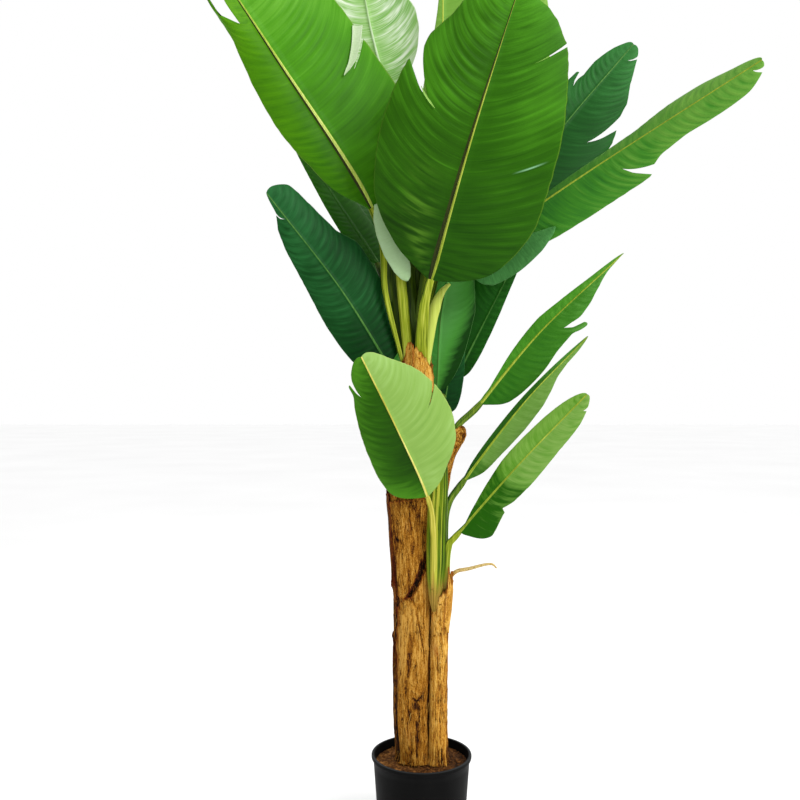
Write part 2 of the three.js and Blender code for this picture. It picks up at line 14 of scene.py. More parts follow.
import bpy
import numpy as np
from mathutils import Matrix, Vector


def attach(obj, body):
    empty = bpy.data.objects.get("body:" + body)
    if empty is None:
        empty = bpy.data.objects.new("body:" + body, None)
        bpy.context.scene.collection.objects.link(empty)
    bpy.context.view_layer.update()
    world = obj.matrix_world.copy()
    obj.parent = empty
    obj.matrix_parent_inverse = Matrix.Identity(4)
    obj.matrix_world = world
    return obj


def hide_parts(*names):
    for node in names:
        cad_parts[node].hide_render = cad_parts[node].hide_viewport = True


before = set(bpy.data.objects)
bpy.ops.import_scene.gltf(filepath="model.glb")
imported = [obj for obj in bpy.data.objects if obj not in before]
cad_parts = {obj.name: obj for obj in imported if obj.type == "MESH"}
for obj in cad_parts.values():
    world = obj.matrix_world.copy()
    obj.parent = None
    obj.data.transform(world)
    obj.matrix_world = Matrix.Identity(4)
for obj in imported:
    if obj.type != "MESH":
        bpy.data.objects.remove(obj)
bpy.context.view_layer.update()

Array = np.ndarray
Point = tuple[float, float, float]
Stops = Sequence[tuple[float, str | float]]
MM = 0.001
BODY = "root"
log = logging.getLogger("banana_plant")


# Numbers and noise

HASH_COLUMN, HASH_ROW, HASH_SEED, HASH_MIX = 374761393, 668265263, 1442695041, 1274126177
WORD, HALF_WORD = 0xFFFFFFFF, 0xFFFF


def blend(low: Array, high: Array, share: Array) -> Array:
    """Straight mix of two values: low at share 0 and high at share 1."""
    return low + (high - low) * share


def ease(value: Array, start: float, end: float) -> Array:
    """Smooth step: 0 up to start, 1 from end on, and three squares less two cubes between."""
    share = np.clip((value - start) / (end - start), 0, 1)
    return share * share * (3 - 2 * share)


def grain(x: Array, y: Array, seed: int, wrap: int = 0) -> Array:
    """Smooth noise from -1 to 1.

    Each corner of a whole-number lattice has a height from a hash of its two numbers, and a
    point gets the eased mix of its cell's four corners.

    Args:
        x: Place along the lattice's first way.
        y: Place along its second way.
        seed: Number that picks the pattern.
        wrap: Count of cells after which x repeats, or 0 for never.

    Returns:
        The noise at each place, in the shape of x and y together.
    """
    x, y = np.broadcast_arrays(np.asarray(x, float), np.asarray(y, float))
    i, j = np.floor(x).astype(np.int64), np.floor(y).astype(np.int64)
    across, up = ease(x - i, 0, 1), ease(y - j, 0, 1)

    def corner(column: Array, row: Array) -> Array:
        """Height of a lattice corner.

        Args:
            column: The corners' numbers along the first way.
            row: Their numbers along the second way.

        Returns:
            The heights, from -1 to 1.
        """
        column = column % wrap if wrap else column
        mixed = (column * HASH_COLUMN + row * HASH_ROW + seed * HASH_SEED) & WORD
        mixed = ((mixed ^ (mixed >> 13)) * HASH_MIX) & WORD
        return ((mixed ^ (mixed >> 16)) & HALF_WORD) / (HALF_WORD / 2) - 1

    low = blend(corner(i, j), corner(i + 1, j), across)
    high = blend(corner(i, j + 1), corner(i + 1, j + 1), across)
    return blend(low, high, up)


@dataclass(frozen=True)
class Spine:
    """A smooth line through a few points, which may carry more numbers than three."""

    points: tuple[tuple[float, ...], ...]

    def at(self, share: Array) -> tuple[Array, Array]:
        """Places and unit directions along the line.

        Between two points the line is the cubic whose slope at each is half the step between
        its two neighbours; past the ends the neighbours are mirrored points.

        Args:
            share: Places from 0 at the first point to 1 at the last.

        Returns:
            The places and the directions, one row for each share.
        """
        knots = np.array(self.points, float)
        padded = np.vstack([2 * knots[0] - knots[1], knots, 2 * knots[-1] - knots[-2]])
        x = np.clip(share, 0, 1) * (len(knots) - 1)
        index = np.minimum(x.astype(int), len(knots) - 2)
        w = (x - index)[:, None]
        before, start, end, after = (padded[index + k] for k in range(4))
        leave, arrive = (end - before) / 2, (after - start) / 2
        square = 3 * (end - start) - 2 * leave - arrive
        cube = 2 * (start - end) + leave + arrive
        place = start + leave * w + square * w**2 + cube * w**3
        along = leave + 2 * square * w + 3 * cube * w**2
        return place, along / np.linalg.norm(along, axis=1, keepdims=True)

    def frames(self, share: Array, across: Point) -> tuple[Array, Array, Array, Array]:
        """The line's places with three square directions at each.

        Args:
            share: Places from 0 at the first point to 1 at the last.
            across: The way that the second direction leans to.

        Returns:
            The places, and the directions along, across and up, each one row for each share.
        """
        place, along = self.at(share)
        side = np.array(across, float) - along * (along @ np.array(across, float))[:, None]
        side /= np.linalg.norm(side, axis=1, keepdims=True)
        return place, along, side, np.cross(side, along)


# Meshes


@dataclass
class Shell:
    """A closed surface before it becomes a mesh, with its points in millimetres."""

    points: Array
    faces: list[Array]
    slots: list[Array]
    uv: Array | None = None
    values: dict[str, Array] = field(default_factory=dict)

    def volume(self) -> float:
        """Signed volume: the sum over triangles of their corners' triple product, over six.

        Returns:
            The volume in cubic millimetres, below 0 where the faces point inwards.
        """
        total = 0.0
        for faces in self.faces:
            for k in range(1, faces.shape[1] - 1):
                a, b, c = (self.points[faces[:, i]] for i in (0, k, k + 1))
                total += float(np.einsum("ij,ij->", a, np.cross(b, c)))
        return total / 6

    def facing_out(self) -> "Shell":
        """The same shell with its faces turned round if they pointed inwards.

        Returns:
            The shell itself.
        """
        if self.volume() < 0:
            self.faces = [faces[:, ::-1] for faces in self.faces]
        return self


def squares(index: Array) -> Array:
    """Four corners of every cell of a grid of point numbers."""
    corners = (index[:-1, :-1], index[:-1, 1:], index[1:, 1:], index[1:, :-1])
    return np.stack(corners, axis=-1).reshape(-1, 4)


def tube(
    rings: Array,
    slots: Array | int = 0,
    uv: Array | None = None,
    values: dict[str, Array] | None = None,
) -> Shell:
    """A closed skin over rings of points, with each end closed by a fan to its middle.

    Args:
        rings: Points of shape (rows, columns, 3); a ring's last point joins its first.
        slots: Material slot of each face between two rings, (rows - 1, columns), or one for all.
        uv: Texture places of the points, (rows, columns, 2).
        values: Named numbers at the points, each (rows, columns).

    Returns:
        The shell, its faces pointing out.
    """
    rows, columns = rings.shape[:2]
    index = np.arange(rows * columns).reshape(rows, columns)
    closed = np.hstack([index, index[:, :1]])
    slots = np.broadcast_to(slots, (rows - 1, columns))

    def with_middles(grid: Array) -> Array:
        """The grid's rows as one list, then the middle of its first and of its last row.

        Args:
            grid: Numbers of shape (rows, columns) or (rows, columns, count).

        Returns:
            The numbers as rows.
        """
        flat = grid.reshape(rows * columns, -1)
        ends = [row.reshape(columns, -1).mean(0) for row in (grid[0], grid[-1])]
        return np.vstack([flat, *ends])

    count = rows * columns
    first = np.stack([np.full(columns, count), closed[0, 1:], closed[0, :-1]], axis=-1)
    last = np.stack([np.full(columns, count + 1), closed[-1, :-1], closed[-1, 1:]], axis=-1)
    return Shell(
        points=with_middles(rings),
        faces=[squares(closed), np.vstack([first, last])],
        slots=[slots.ravel(), np.concatenate([slots[0], slots[-1]])],
        uv=None if uv is None else with_middles(uv),
        values={name: with_middles(grid).ravel() for name, grid in (values or {}).items()},
    ).facing_out()


def pillow(
    outer: Array,
    inner: Array,
    uv: Array | None = None,
    values: dict[str, Array] | None = None,
) -> Shell:
    """A closed body of two grids of points that meet along their common border.

    Args:
        outer: Points of the outer face, (rows, columns, 3).
        inner: Points of the inner face, of the same shape; its border isn't used.
        uv: Texture places of the grid's points, (rows, columns, 2), the same on both faces.
        values: Named numbers at the grid's points, each (rows, columns), the same on both faces.

    Returns:
        The shell, its faces pointing out.
    """
    rows, columns = outer.shape[:2]
    count = rows * columns
    index = np.arange(count).reshape(rows, columns)
    under = index.copy()
    under[1:-1, 1:-1] = count + np.arange((rows - 2) * (columns - 2)).reshape(rows - 2, columns - 2)

    def both(top: Array, bottom: Array) -> Array:
        """All of the outer grid, then the inside of the inner one."""
        flat = top.reshape(count, -1)
        return np.concatenate([flat, bottom[1:-1, 1:-1].reshape(-1, flat.shape[1])])

    return Shell(
        points=both(outer, inner),
        faces=[np.vstack([squares(index), squares(under)[:, ::-1]])],
        slots=[np.zeros(2 * (rows - 1) * (columns - 1), int)],
        uv=None if uv is None else both(uv, uv),
        values={name: both(grid, grid).ravel() for name, grid in (values or {}).items()},
    ).facing_out()


def assemble(name: str, shells: list[Shell], materials: list[bpy.types.Material]) -> bpy.types.Object:
    """Puts shells into one smooth mesh object at the origin.

    Args:
        name: The piece's name.
        shells: Its closed surfaces, in millimetres.
        materials: Its material slots in order.

    Returns:
        The object, linked to the scene.
    """
    starts = np.cumsum([0] + [len(shell.points) for shell in shells[:-1]])
    points = np.concatenate([shell.points for shell in shells]) * MM
    groups = [(faces + start, slots) for shell, start in zip(shells, starts)
              for faces, slots in zip(shell.faces, shell.slots)]
    corners = np.concatenate([faces.ravel() for faces, _ in groups])
    sizes = np.concatenate([np.full(len(faces), faces.shape[1]) for faces, _ in groups])
    mesh = bpy.data.meshes.new(name)
    mesh.vertices.add(len(points))
    mesh.vertices.foreach_set("co", points.astype(np.float32).ravel())
    mesh.loops.add(len(corners))
    mesh.loops.foreach_set("vertex_index", corners.astype(np.int32))
    mesh.polygons.add(len(sizes))
    mesh.polygons.foreach_set("loop_start", (np.cumsum(sizes) - sizes).astype(np.int32))
    mesh.polygons.foreach_set("material_index", np.concatenate([s for _, s in groups]).astype(np.int32))
    mesh.polygons.foreach_set("use_smooth", np.ones(len(sizes), bool))
    for material in materials:
        mesh.materials.append(material)
    if any(shell.uv is not None for shell in shells):
        uv = np.concatenate([np.zeros((len(s.points), 2)) if s.uv is None else s.uv for s in shells])
        mesh.uv_layers.new(name="surface").uv.foreach_set("vector", uv[corners].astype(np.float32).ravel())
    for key in sorted({key for shell in shells for key in shell.values}):
        numbers = [shell.values.get(key, np.zeros(len(shell.points))) for shell in shells]
        layer = mesh.attributes.new(key, "FLOAT", "POINT")
        layer.data.foreach_set("value", np.concatenate(numbers).astype(np.float32))
    mesh.update(calc_edges=True)
    mesh.validate()
    piece = bpy.data.objects.new(name, mesh)
    bpy.context.scene.collection.objects.link(piece)
    return piece


def show(piece: bpy.types.Object, slot: str, *nodes: str) -> None:
    """Makes a finished piece part of the plant.

    Args:
        piece: The finished object.
        slot: The record's material slot that it goes with; not used.
        nodes: The CAD nodes that it stands for.
    """
    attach(piece, BODY)
    if nodes:
        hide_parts(*nodes)
    stands_for = ", ".join(nodes) or "no node"
    log.info("%s: %d faces, for %s", piece.name, len(piece.data.polygons), stands_for)


# Finishes


def linear(colour: str) -> tuple[float, float, float, float]:
    """A colour of six hexadecimal digits as linear red, green, blue and full cover."""
    parts = [int(colour[i:i + 2], 16) / 255 for i in (0, 2, 4)]
    return (*[p / 12.92 if p <= 0.04045 else ((p + 0.055) / 1.055) ** 2.4 for p in parts], 1.0)


class Sheet:
    """A material's nodes, with short calls for those that the finishes share."""

    def __init__(self, name: str, roughness: float, gloss: float = 0.5) -> None:
        """Starts a material with one shader of a given roughness and strength of gloss.

        Args:
            name: The material's name.
            roughness: How rough it is.
            gloss: How strong its gloss is.
        """
        self.material = bpy.data.materials.new(name)
        self.material.use_nodes = True
        self.nodes = self.material.node_tree.nodes
        self.links = self.material.node_tree.links
        self.shader = self.nodes["Principled BSDF"]
        self.shader.inputs["Roughness"].default_value = roughness
        self.shader.inputs["Specular IOR Level"].default_value = gloss

    def add(self, kind: str, feeds: dict, **settings: object) -> bpy.types.Node:
        """Adds a node.

        Args:
            kind: The node's type.
            feeds: What goes into its inputs, by name or number: a socket, a number or a colour.
            settings: Its own settings.

        Returns:
            The node.
        """
        node = self.nodes.new(kind)
        for key, value in settings.items():
            setattr(node, key, value)
        for key, value in feeds.items():
            self.feed(node.inputs[key], value)
        return node

    def feed(self, socket: bpy.types.NodeSocket, value: object) -> None:
        """Links a socket to another, or sets its number.

        Args:
            socket: The socket that is fed.
            value: Another socket, a number or a colour.
        """
        if isinstance(value, bpy.types.NodeSocket):
            self.links.new(value, socket)
        else:
            socket.default_value = value

    def sum(self, first: object, factor: object, addend: object = 0.0) -> bpy.types.NodeSocket:
        """First times factor plus addend."""
        feeds = {0: first, 1: factor, 2: addend}
        return self.add("ShaderNodeMath", feeds, operation="MULTIPLY_ADD").outputs[0]

    def number(self, name: str) -> bpy.types.NodeSocket:
        """A named number of the mesh's points."""
        return self.add("ShaderNodeAttribute", {}, attribute_name=name).outputs["Fac"]

    def surface(self) -> tuple[bpy.types.NodeSocket, bpy.types.NodeSocket]:
        """The piece's own texture places, along and across.

        Returns:
            The two places.
        """
        uv = self.add("ShaderNodeUVMap", {}, uv_map="surface").outputs["UV"]
        parts = self.add("ShaderNodeSeparateXYZ", {0: uv})
        return parts.outputs["X"], parts.outputs["Y"]

    def noise(
        self, vector: object, scale: float, detail: float = 2.0, warp: float = 0.0
    ) -> bpy.types.NodeSocket:
        """Cloudy noise from 0 to 1 at a place."""
        feeds = {"Vector": vector, "Scale": scale, "Detail": detail, "Distortion": warp}
        return self.add("ShaderNodeTexNoise", feeds).outputs["Fac"]

    def distance(self, value: object, centre: float) -> bpy.types.NodeSocket:
        """How far a value is from a centre."""
        gap = self.sum(value, 1.0, -centre)
        return self.add("ShaderNodeMath", {0: gap}, operation="ABSOLUTE").outputs[0]

    def hill(self, value: object, centre: float, half: float) -> bpy.types.NodeSocket:
        """1 at a centre, falling smoothly to 0 at half the hill's width from it."""
        return self.band(self.distance(value, centre), half, 0.0)

    def height(self) -> bpy.types.NodeSocket:
        """Height over the floor in metres."""
        place = self.add("ShaderNodeTexCoord", {}).outputs["Object"]
        return self.add("ShaderNodeSeparateXYZ", {0: place}).outputs["Z"]

    def place(self, x: object, y: object, z: object = 0.0) -> bpy.types.NodeSocket:
        """A place from three numbers."""
        return self.add("ShaderNodeCombineXYZ", {"X": x, "Y": y, "Z": z}).outputs[0]

    def object_place(self, scale: Point = (1.0, 1.0, 1.0)) -> bpy.types.NodeSocket:
        """Object coordinates, stretched by a scale for each way."""
        place = self.add("ShaderNodeTexCoord", {}).outputs["Object"]
        return self.add("ShaderNodeMapping", {"Vector": place, "Scale": scale}).outputs[0]

    def ramp(self, factor: object, stops: Stops) -> bpy.types.NodeSocket:
        """Colours or numbers laid out along a factor.

        Args:
            factor: The factor, from 0 to 1.
            stops: Each stop's place, with its colour or its number from 0 to 1.

        Returns:
            The colour, or the number as a grey.
        """
        node = self.add("ShaderNodeValToRGB", {"Fac": factor})
        elements = node.color_ramp.elements
        while len(elements) < len(stops):
            elements.new(0.5)
        for element, (position, value) in zip(elements, stops):
            element.position = position
            element.color = linear(value) if isinstance(value, str) else (value, value, value, 1.0)
        return node.outputs["Color"]

    def mix(self, share: object, first: object, second: object) -> bpy.types.NodeSocket:
        """Mixes two colours."""
        return self.add("ShaderNodeMix", {0: share, 6: first, 7: second}, data_type="RGBA").outputs[2]

    def band(self, value: object, start: float, end: float) -> bpy.types.NodeSocket:
        """0 below start, 1 above end and smooth between, or the reverse where end is below start."""
        feeds = {"Value": value, "From Min": start, "From Max": end}
        return self.add("ShaderNodeMapRange", feeds, interpolation_type="SMOOTHSTEP").outputs[0]

    def finish(
        self, colour: object, height: object = None, depth_mm: float = 0.5, strength: float = 0.5
    ) -> bpy.types.Material:
        """Feeds the shader.

        Args:
            colour: Its base colour.
            height: The relief that its normals follow, from 0 to 1.
            depth_mm: How deep that relief is.
            strength: How strongly it shows.

        Returns:
            The material.
        """
        self.feed(self.shader.inputs["Base Color"], colour)
        if height is not None:
            feeds = {"Height": height, "Strength": strength, "Distance": depth_mm * MM}
            self.feed(self.shader.inputs["Normal"], self.add("ShaderNodeBump", feeds).outputs[0])
        return self.material


class Mark(Enum):
    """How a sheen is broken up along the side veins."""

    FINE = "fine"
    BROAD = "broad"
    SOLID = "solid"


@dataclass(frozen=True)
class Sheen:
    """A patch of painted highlight strokes along the side veins of a blade's half, or with a solid
    mark a light scratch line: the middle and the half length along the blade, the middle and
    the half width from midrib to edge, its strength, its colour and how it is broken up."""

    at: float
    reach: float
    out: float
    width: float
    strength: float
    colour: str
    mark: Mark = Mark.FINE


STREAK_WEIGHT, THREAD_WEIGHT, CLOUD_WEIGHT, FOLD_SHADE_WEIGHT = 0.9, 0.64, 0.8, 0.2
STROKE_BAND = (0.42, 0.66)
RIM_BAND = (0.98, 0.994)
THREAD_SCALE = 5


@dataclass(frozen=True)
class BladeFinish:
    """The skin of one face of a leaf's blade: streaks along the side veins and a light rim.

    along lists (place, tone) from the collar to the tip, and outward is the tone that is added
    from the midrib to the edge.
    """

    dark: str
    main: str
    light: str
    edge: str = "64882a"
    along: tuple[tuple[float, float], ...] = ((0.0, 0.34), (1.0, 0.66))
    outward: float = 0.1
    roughness: float = 0.45
    veins: float = 46.0
    contrast: float = 1.0
    sheens: tuple[Sheen, ...] = ()

    @functools.cache
    def material(self) -> bpy.types.Material:
        """Mixes dark to light by slow clouds, by vein streaks and by the folds' height, which paints shade
        in the folds' valleys and highlight on their crests.

        Returns:
            The material.
        """
        sheet = Sheet(f"blade_{self.main}", self.roughness, 0.06)
        place, across = sheet.surface()
        place = sheet.sum(place, 2.0, -1.0)
        out = sheet.distance(sheet.sum(across, 2.0, -1.0), 0.0)
        streaks = sheet.noise(sheet.place(sheet.sum(place, self.veins), sheet.sum(out, 1.6)), 1.0, 2.0)
        fine = sheet.sum(place, self.veins * THREAD_SCALE)
        threads = sheet.noise(sheet.place(fine, sheet.sum(out, 1.2)), 1.0, 1.0)
        clouds = sheet.noise(sheet.object_place(), 7.0, 2.0)
        # The folds' term paints shade in their valleys and highlight on their crests.
        weights = (
            (streaks, STREAK_WEIGHT * self.contrast), (threads, THREAD_WEIGHT * self.contrast),
            (clouds, CLOUD_WEIGHT), (sheet.number("fold"), FOLD_SHADE_WEIGHT * self.contrast),
            (out, self.outward),
        )
        mean = 0.5 * ((STREAK_WEIGHT + THREAD_WEIGHT) * self.contrast + CLOUD_WEIGHT + self.outward)
        tone = sheet.sum(sheet.ramp(place, self.along), 1.0, -mean)
        for part, weight in weights:
            tone = sheet.sum(part, weight, tone)
        colour = sheet.ramp(tone, [(0.0, self.dark), (0.5, self.main), (1.0, self.light)])
        # Painted highlights mixed into the base colour; a solid mark is a light scratch line instead.
        for sheen in self.sheens:
            patch = sheet.hill(place, sheen.at, sheen.reach)
            patch = sheet.sum(patch, sheet.hill(out, sheen.out, sheen.width))
            strokes = {
                Mark.FINE: sheet.band(threads, *STROKE_BAND),
                Mark.BROAD: sheet.band(streaks, *STROKE_BAND),
                Mark.SOLID: 1.0,
            }[sheen.mark]
            share = sheet.sum(patch, sheet.sum(strokes, sheen.strength))
            colour = sheet.mix(share, colour, linear(sheen.colour))
        rim = sheet.sum(sheet.band(out, *RIM_BAND), 0.6)
        height = sheet.sum(threads, 0.5, streaks)
        return sheet.finish(sheet.mix(rim, colour, linear(self.edge)), height, 0.5, 0.35)


STALK_TONE = -0.05
STREAK_RISE = 0.08
BARK_TONE = -1.52
BARK_STOPS = (0.02, 0.22, 0.47, 0.72, 0.98)


@dataclass(frozen=True)
class StalkFinish:
    """A smooth green skin with streaks that run lengthwise.

    foot is the stretch of height in metres over which straw turns to green.
    """

    dark: str
    main: str
    light: str
    foot: tuple[float, float] = (0.0, 0.1)
    straw: str = "9a7c30"
    roughness: float = 0.42

    @functools.cache
    def material(self) -> bpy.types.Material:
        """Mixes dark to light by streaks that are long in height, and by the tone number.

        Returns:
            The material.
        """
        sheet = Sheet(f"stalk_{self.main}", self.roughness, 0.12)
        streaks = sheet.noise(sheet.object_place((1.0, 0.3, 0.05)), 260.0, 2.0)
        clouds = sheet.noise(sheet.object_place((1.0, 1.0, 0.3)), 40.0, 2.0)
        tone = sheet.sum(streaks, 0.8, sheet.sum(clouds, 0.3, sheet.number("tone")))
        tone = sheet.sum(tone, 1.0, STALK_TONE)
        base = sheet.ramp(tone, [(0.1, self.dark), (0.5, self.main), (0.95, self.light)])
        height = sheet.sum(streaks, STREAK_RISE, sheet.height())
        straw = sheet.band(height, self.foot[1] + STREAK_RISE / 2, self.foot[0] + STREAK_RISE / 2)
        return sheet.finish(sheet.mix(straw, base, linear(self.straw)), streaks, 0.4, 0.3)


@dataclass(frozen=True)
class BarkFinish:
    """Dried fibrous sheath: dark in its cracks by painted shade, gold on its crests, rusty in places."""

    crack_shade: str = "0b0502"
    shade: str = "3e1e08"
    main: str = "7c4a0e"
    light: str = "a06c1e"
    straw: str = "c09040"
    rust: str = "6c240c"
    roughness: float = 0.85

    @functools.cache
    def material(self) -> bpy.types.Material:
        """Lays colours out by the tone number, broken up by fibres, fine dark threads sunk in as
        cracks with painted shade, fine light threads, dark patches, grit and rusty patches.

        Returns:
            The material.
        """
        sheet = Sheet(f"bark_{self.main}", self.roughness, 0.08)
        fibres = sheet.noise(sheet.object_place((1.0, 1.0, 0.13)), 420.0, 4.0, 0.9)
        grit = sheet.noise(sheet.object_place((1.0, 1.0, 0.6)), 620.0, 4.0)
        patches = sheet.noise(sheet.object_place((1.0, 1.0, 0.35)), 24.0, 3.0)
        threads = sheet.noise(sheet.object_place((1.0, 1.0, 0.12)), 150.0, 3.0, 0.8)
        # Thin dark threads are sunk in as cracks and darkened with painted shade; the dark patches are the
        # sheath's own colour.
        dark = sheet.sum(sheet.hill(threads, 0.44, 0.02), sheet.band(patches, 0.36, 0.56))
        light = sheet.hill(threads, 0.57, 0.02)
        tone = sheet.sum(fibres, 1.5, sheet.number("tone"))
        for part, weight in ((grit, 1.1), (patches, 0.6), (dark, -0.7), (light, 0.2)):
            tone = sheet.sum(part, weight, tone)
        tone = sheet.sum(tone, 1.0, BARK_TONE)
        colours = (self.crack_shade, self.shade, self.main, self.light, self.straw)
        base = sheet.ramp(tone, list(zip(BARK_STOPS, colours)))
        rust = sheet.sum(sheet.band(patches, 0.58, 0.74), 0.5, sheet.number("rust"))
        height = sheet.sum(grit, 0.5, sheet.sum(dark, -0.8, fibres))
        return sheet.finish(sheet.mix(rust, base, linear(self.rust)), height, 1.6, 1.0)


@dataclass(frozen=True)
class PlasticFinish:
    """Moulded plastic with a fine grain and a painted highlight along the rim's top."""

    body: str = "060606"
    cloud: str = "0d0d0d"
    rim_glint: str = "2c2e2f"
    roughness: float = 0.55

    @functools.cache
    def material(self) -> bpy.types.Material:
        """Mixes a dark body with faint clouds, with the rim's painted highlight where the edge number is
        high.

        Returns:
            The material.
        """
        sheet = Sheet("pot_plastic", self.roughness, 0.05)
        grain_noise = sheet.noise(sheet.object_place(), 900.0, 2.0)
        clouds = sheet.noise(sheet.object_place((1.0, 1.0, 0.35)), 26.0, 3.0)
        base = sheet.ramp(clouds, [(0.25, self.body), (0.85, self.cloud)])
        colour = sheet.mix(sheet.number("edge"), base, linear(self.rim_glint))
        return sheet.finish(colour, grain_noise, 0.15, 0.4)


@dataclass(frozen=True)
class SoilFinish:
    """Compacted coir: dark crumbs with pale fibres among them."""

    dark: str = "1a0e06"
    main: str = "553416"
    light: str = "a87238"
    roughness: float = 0.95

    @functools.cache
    def material(self) -> bpy.types.Material:
        """Mixes dark to light by crumbs of two sizes, darker towards the right.

        Returns:
            The material.
        """
        sheet = Sheet(f"coir_{self.main}", self.roughness, 0.1)
        crumbs = sheet.noise(sheet.object_place(), 160.0, 6.0)
        clods = sheet.noise(sheet.object_place(), 38.0, 3.0)
        right = sheet.add("ShaderNodeSeparateXYZ", {0: sheet.object_place()}).outputs["X"]
        tone = sheet.sum(right, -1.6, sheet.sum(crumbs, 1.3, sheet.sum(clods, 0.8, -0.55)))
        base = sheet.ramp(tone, [(0.2, self.dark), (0.55, self.main), (0.95, self.light)])
        return sheet.finish(base, crumbs, 2.5, 0.8)


# Leaves


class Side(IntEnum):
    """The two halves of a blade, seen from its upper face with the tip up."""

    LEFT = -1
    RIGHT = 1


VEIN_SWEEP = ((0, -14), (0.12, 8), (0.3, 24), (0.6, 38), (1, 38))


@dataclass(frozen=True)
class Half:
    """One half of a blade.

    It has its greatest width, the powers by which it rises from the collar and falls to the
    tip, where it starts, its slope at the midrib and that slope's change towards the edge.
    trim lists (place, factor of the width), and sweep lists (place, lean of the side veins
    towards the tip); bend is the power of the share of the width by which that lean grows.
    """

    width: float
    rise: float
    fall: float
    start: float = 0.0
    lift: float = 6.0
    curl: float = -10.0
    trim: tuple[tuple[float, float], ...] = ((0.0, 1.0), (1.0, 1.0))
    sweep: tuple[tuple[float, float], ...] = VEIN_SWEEP
    bend: float = 1.0

    def reach(self, s: Array) -> Array:
        """Half width: t to the rise times 1 - t to the fall, scaled so that its peak is the width,
        and then by the trim's factors, rounded off where they change.

        Args:
            s: Places along the blade.

        Returns:
            The half width at each.
        """
        t = np.clip((s - self.start) / (1 - self.start), 0, 1)
        peak = self.rise / (self.rise + self.fall)
        shape = t**self.rise * (1 - t)**self.fall / (peak**self.rise * (1 - peak)**self.fall)
        places, factors = zip(*self.trim)
        trim = sum(np.interp(s + shift, places, factors) for shift in TRIM_ROUNDING) / len(TRIM_ROUNDING)
        return self.width * shape * trim


@dataclass(frozen=True)
class Tear:
    """A split that runs in from the edge along a side vein.

    at is its place along the blade and depth how far it runs in, as shares; below and above are
    the stretches of the blade over which it closes, towards the collar and towards the tip.
    """

    side: Side
    at: float
    depth: float
    below: float = 0.004
    above: float = 0.03
    hook: float = 1.6

    def left_over(self, s: Array) -> Array:
        """Share of the half's width that is left: 1 away from the split, 1 less its depth at it,
        straight on the collar's side and bowed by the hook power on the tip's side.

        Args:
            s: Places along the blade.

        Returns:
            The share at each.
        """
        low = np.clip(1 - (self.at - s) / self.below, 0, 1)
        high = np.clip(1 - (s - self.at) / self.above, 0, 1)**self.hook
        return 1 - self.depth * np.where(s <= self.at, low, high)

    def stations(self) -> Array:
        """Places along the blade that the split's two lips need."""
        below, above = (np.array(steps) for steps in LIP_STEPS)
        return np.concatenate([self.at - self.below * below, self.at + self.above * above])


@dataclass(frozen=True)
class LeafFinish:
    """All the skins of a leaf."""

    left: BladeFinish
    right: BladeFinish
    back: BladeFinish
    rib: StalkFinish
    groove: StalkFinish
    stalk: StalkFinish

    def materials(self) -> list[bpy.types.Material]:
        """Material slots in the order of the Skin numbers."""
        return [f.material() for f in (self.left, self.right, self.back, self.rib, self.groove, self.stalk)]


class Skin(IntEnum):
    """Material slots of a leaf."""

    LEFT = 0
    RIGHT = 1
    BACK = 2
    RIB = 3
    SHADED_GROOVE = 4
    STALK = 5


BLADE_ROWS = 230
FINE_STEPS = 6
LIP_STEPS = ((1.0, 0.5, 0.0), (0.04, 0.12, 0.25, 0.45, 0.7, 1.0))
STALK_ROWS = 26
RIB_COLUMNS = 5
BLADE_COLUMNS = 14
BLADE_THICKNESS = 1.3
RIM_START = 0.985
TRIM_ROUNDING = (-0.012, -0.006, 0.0, 0.006, 0.012)
COLLAR_STRETCH = (0.46, 0.56)
EDGE_GRAIN = 0.005
TIP_POWER = 0.3
STALK_END = 0.499
FOLD_PITCH = 15.0


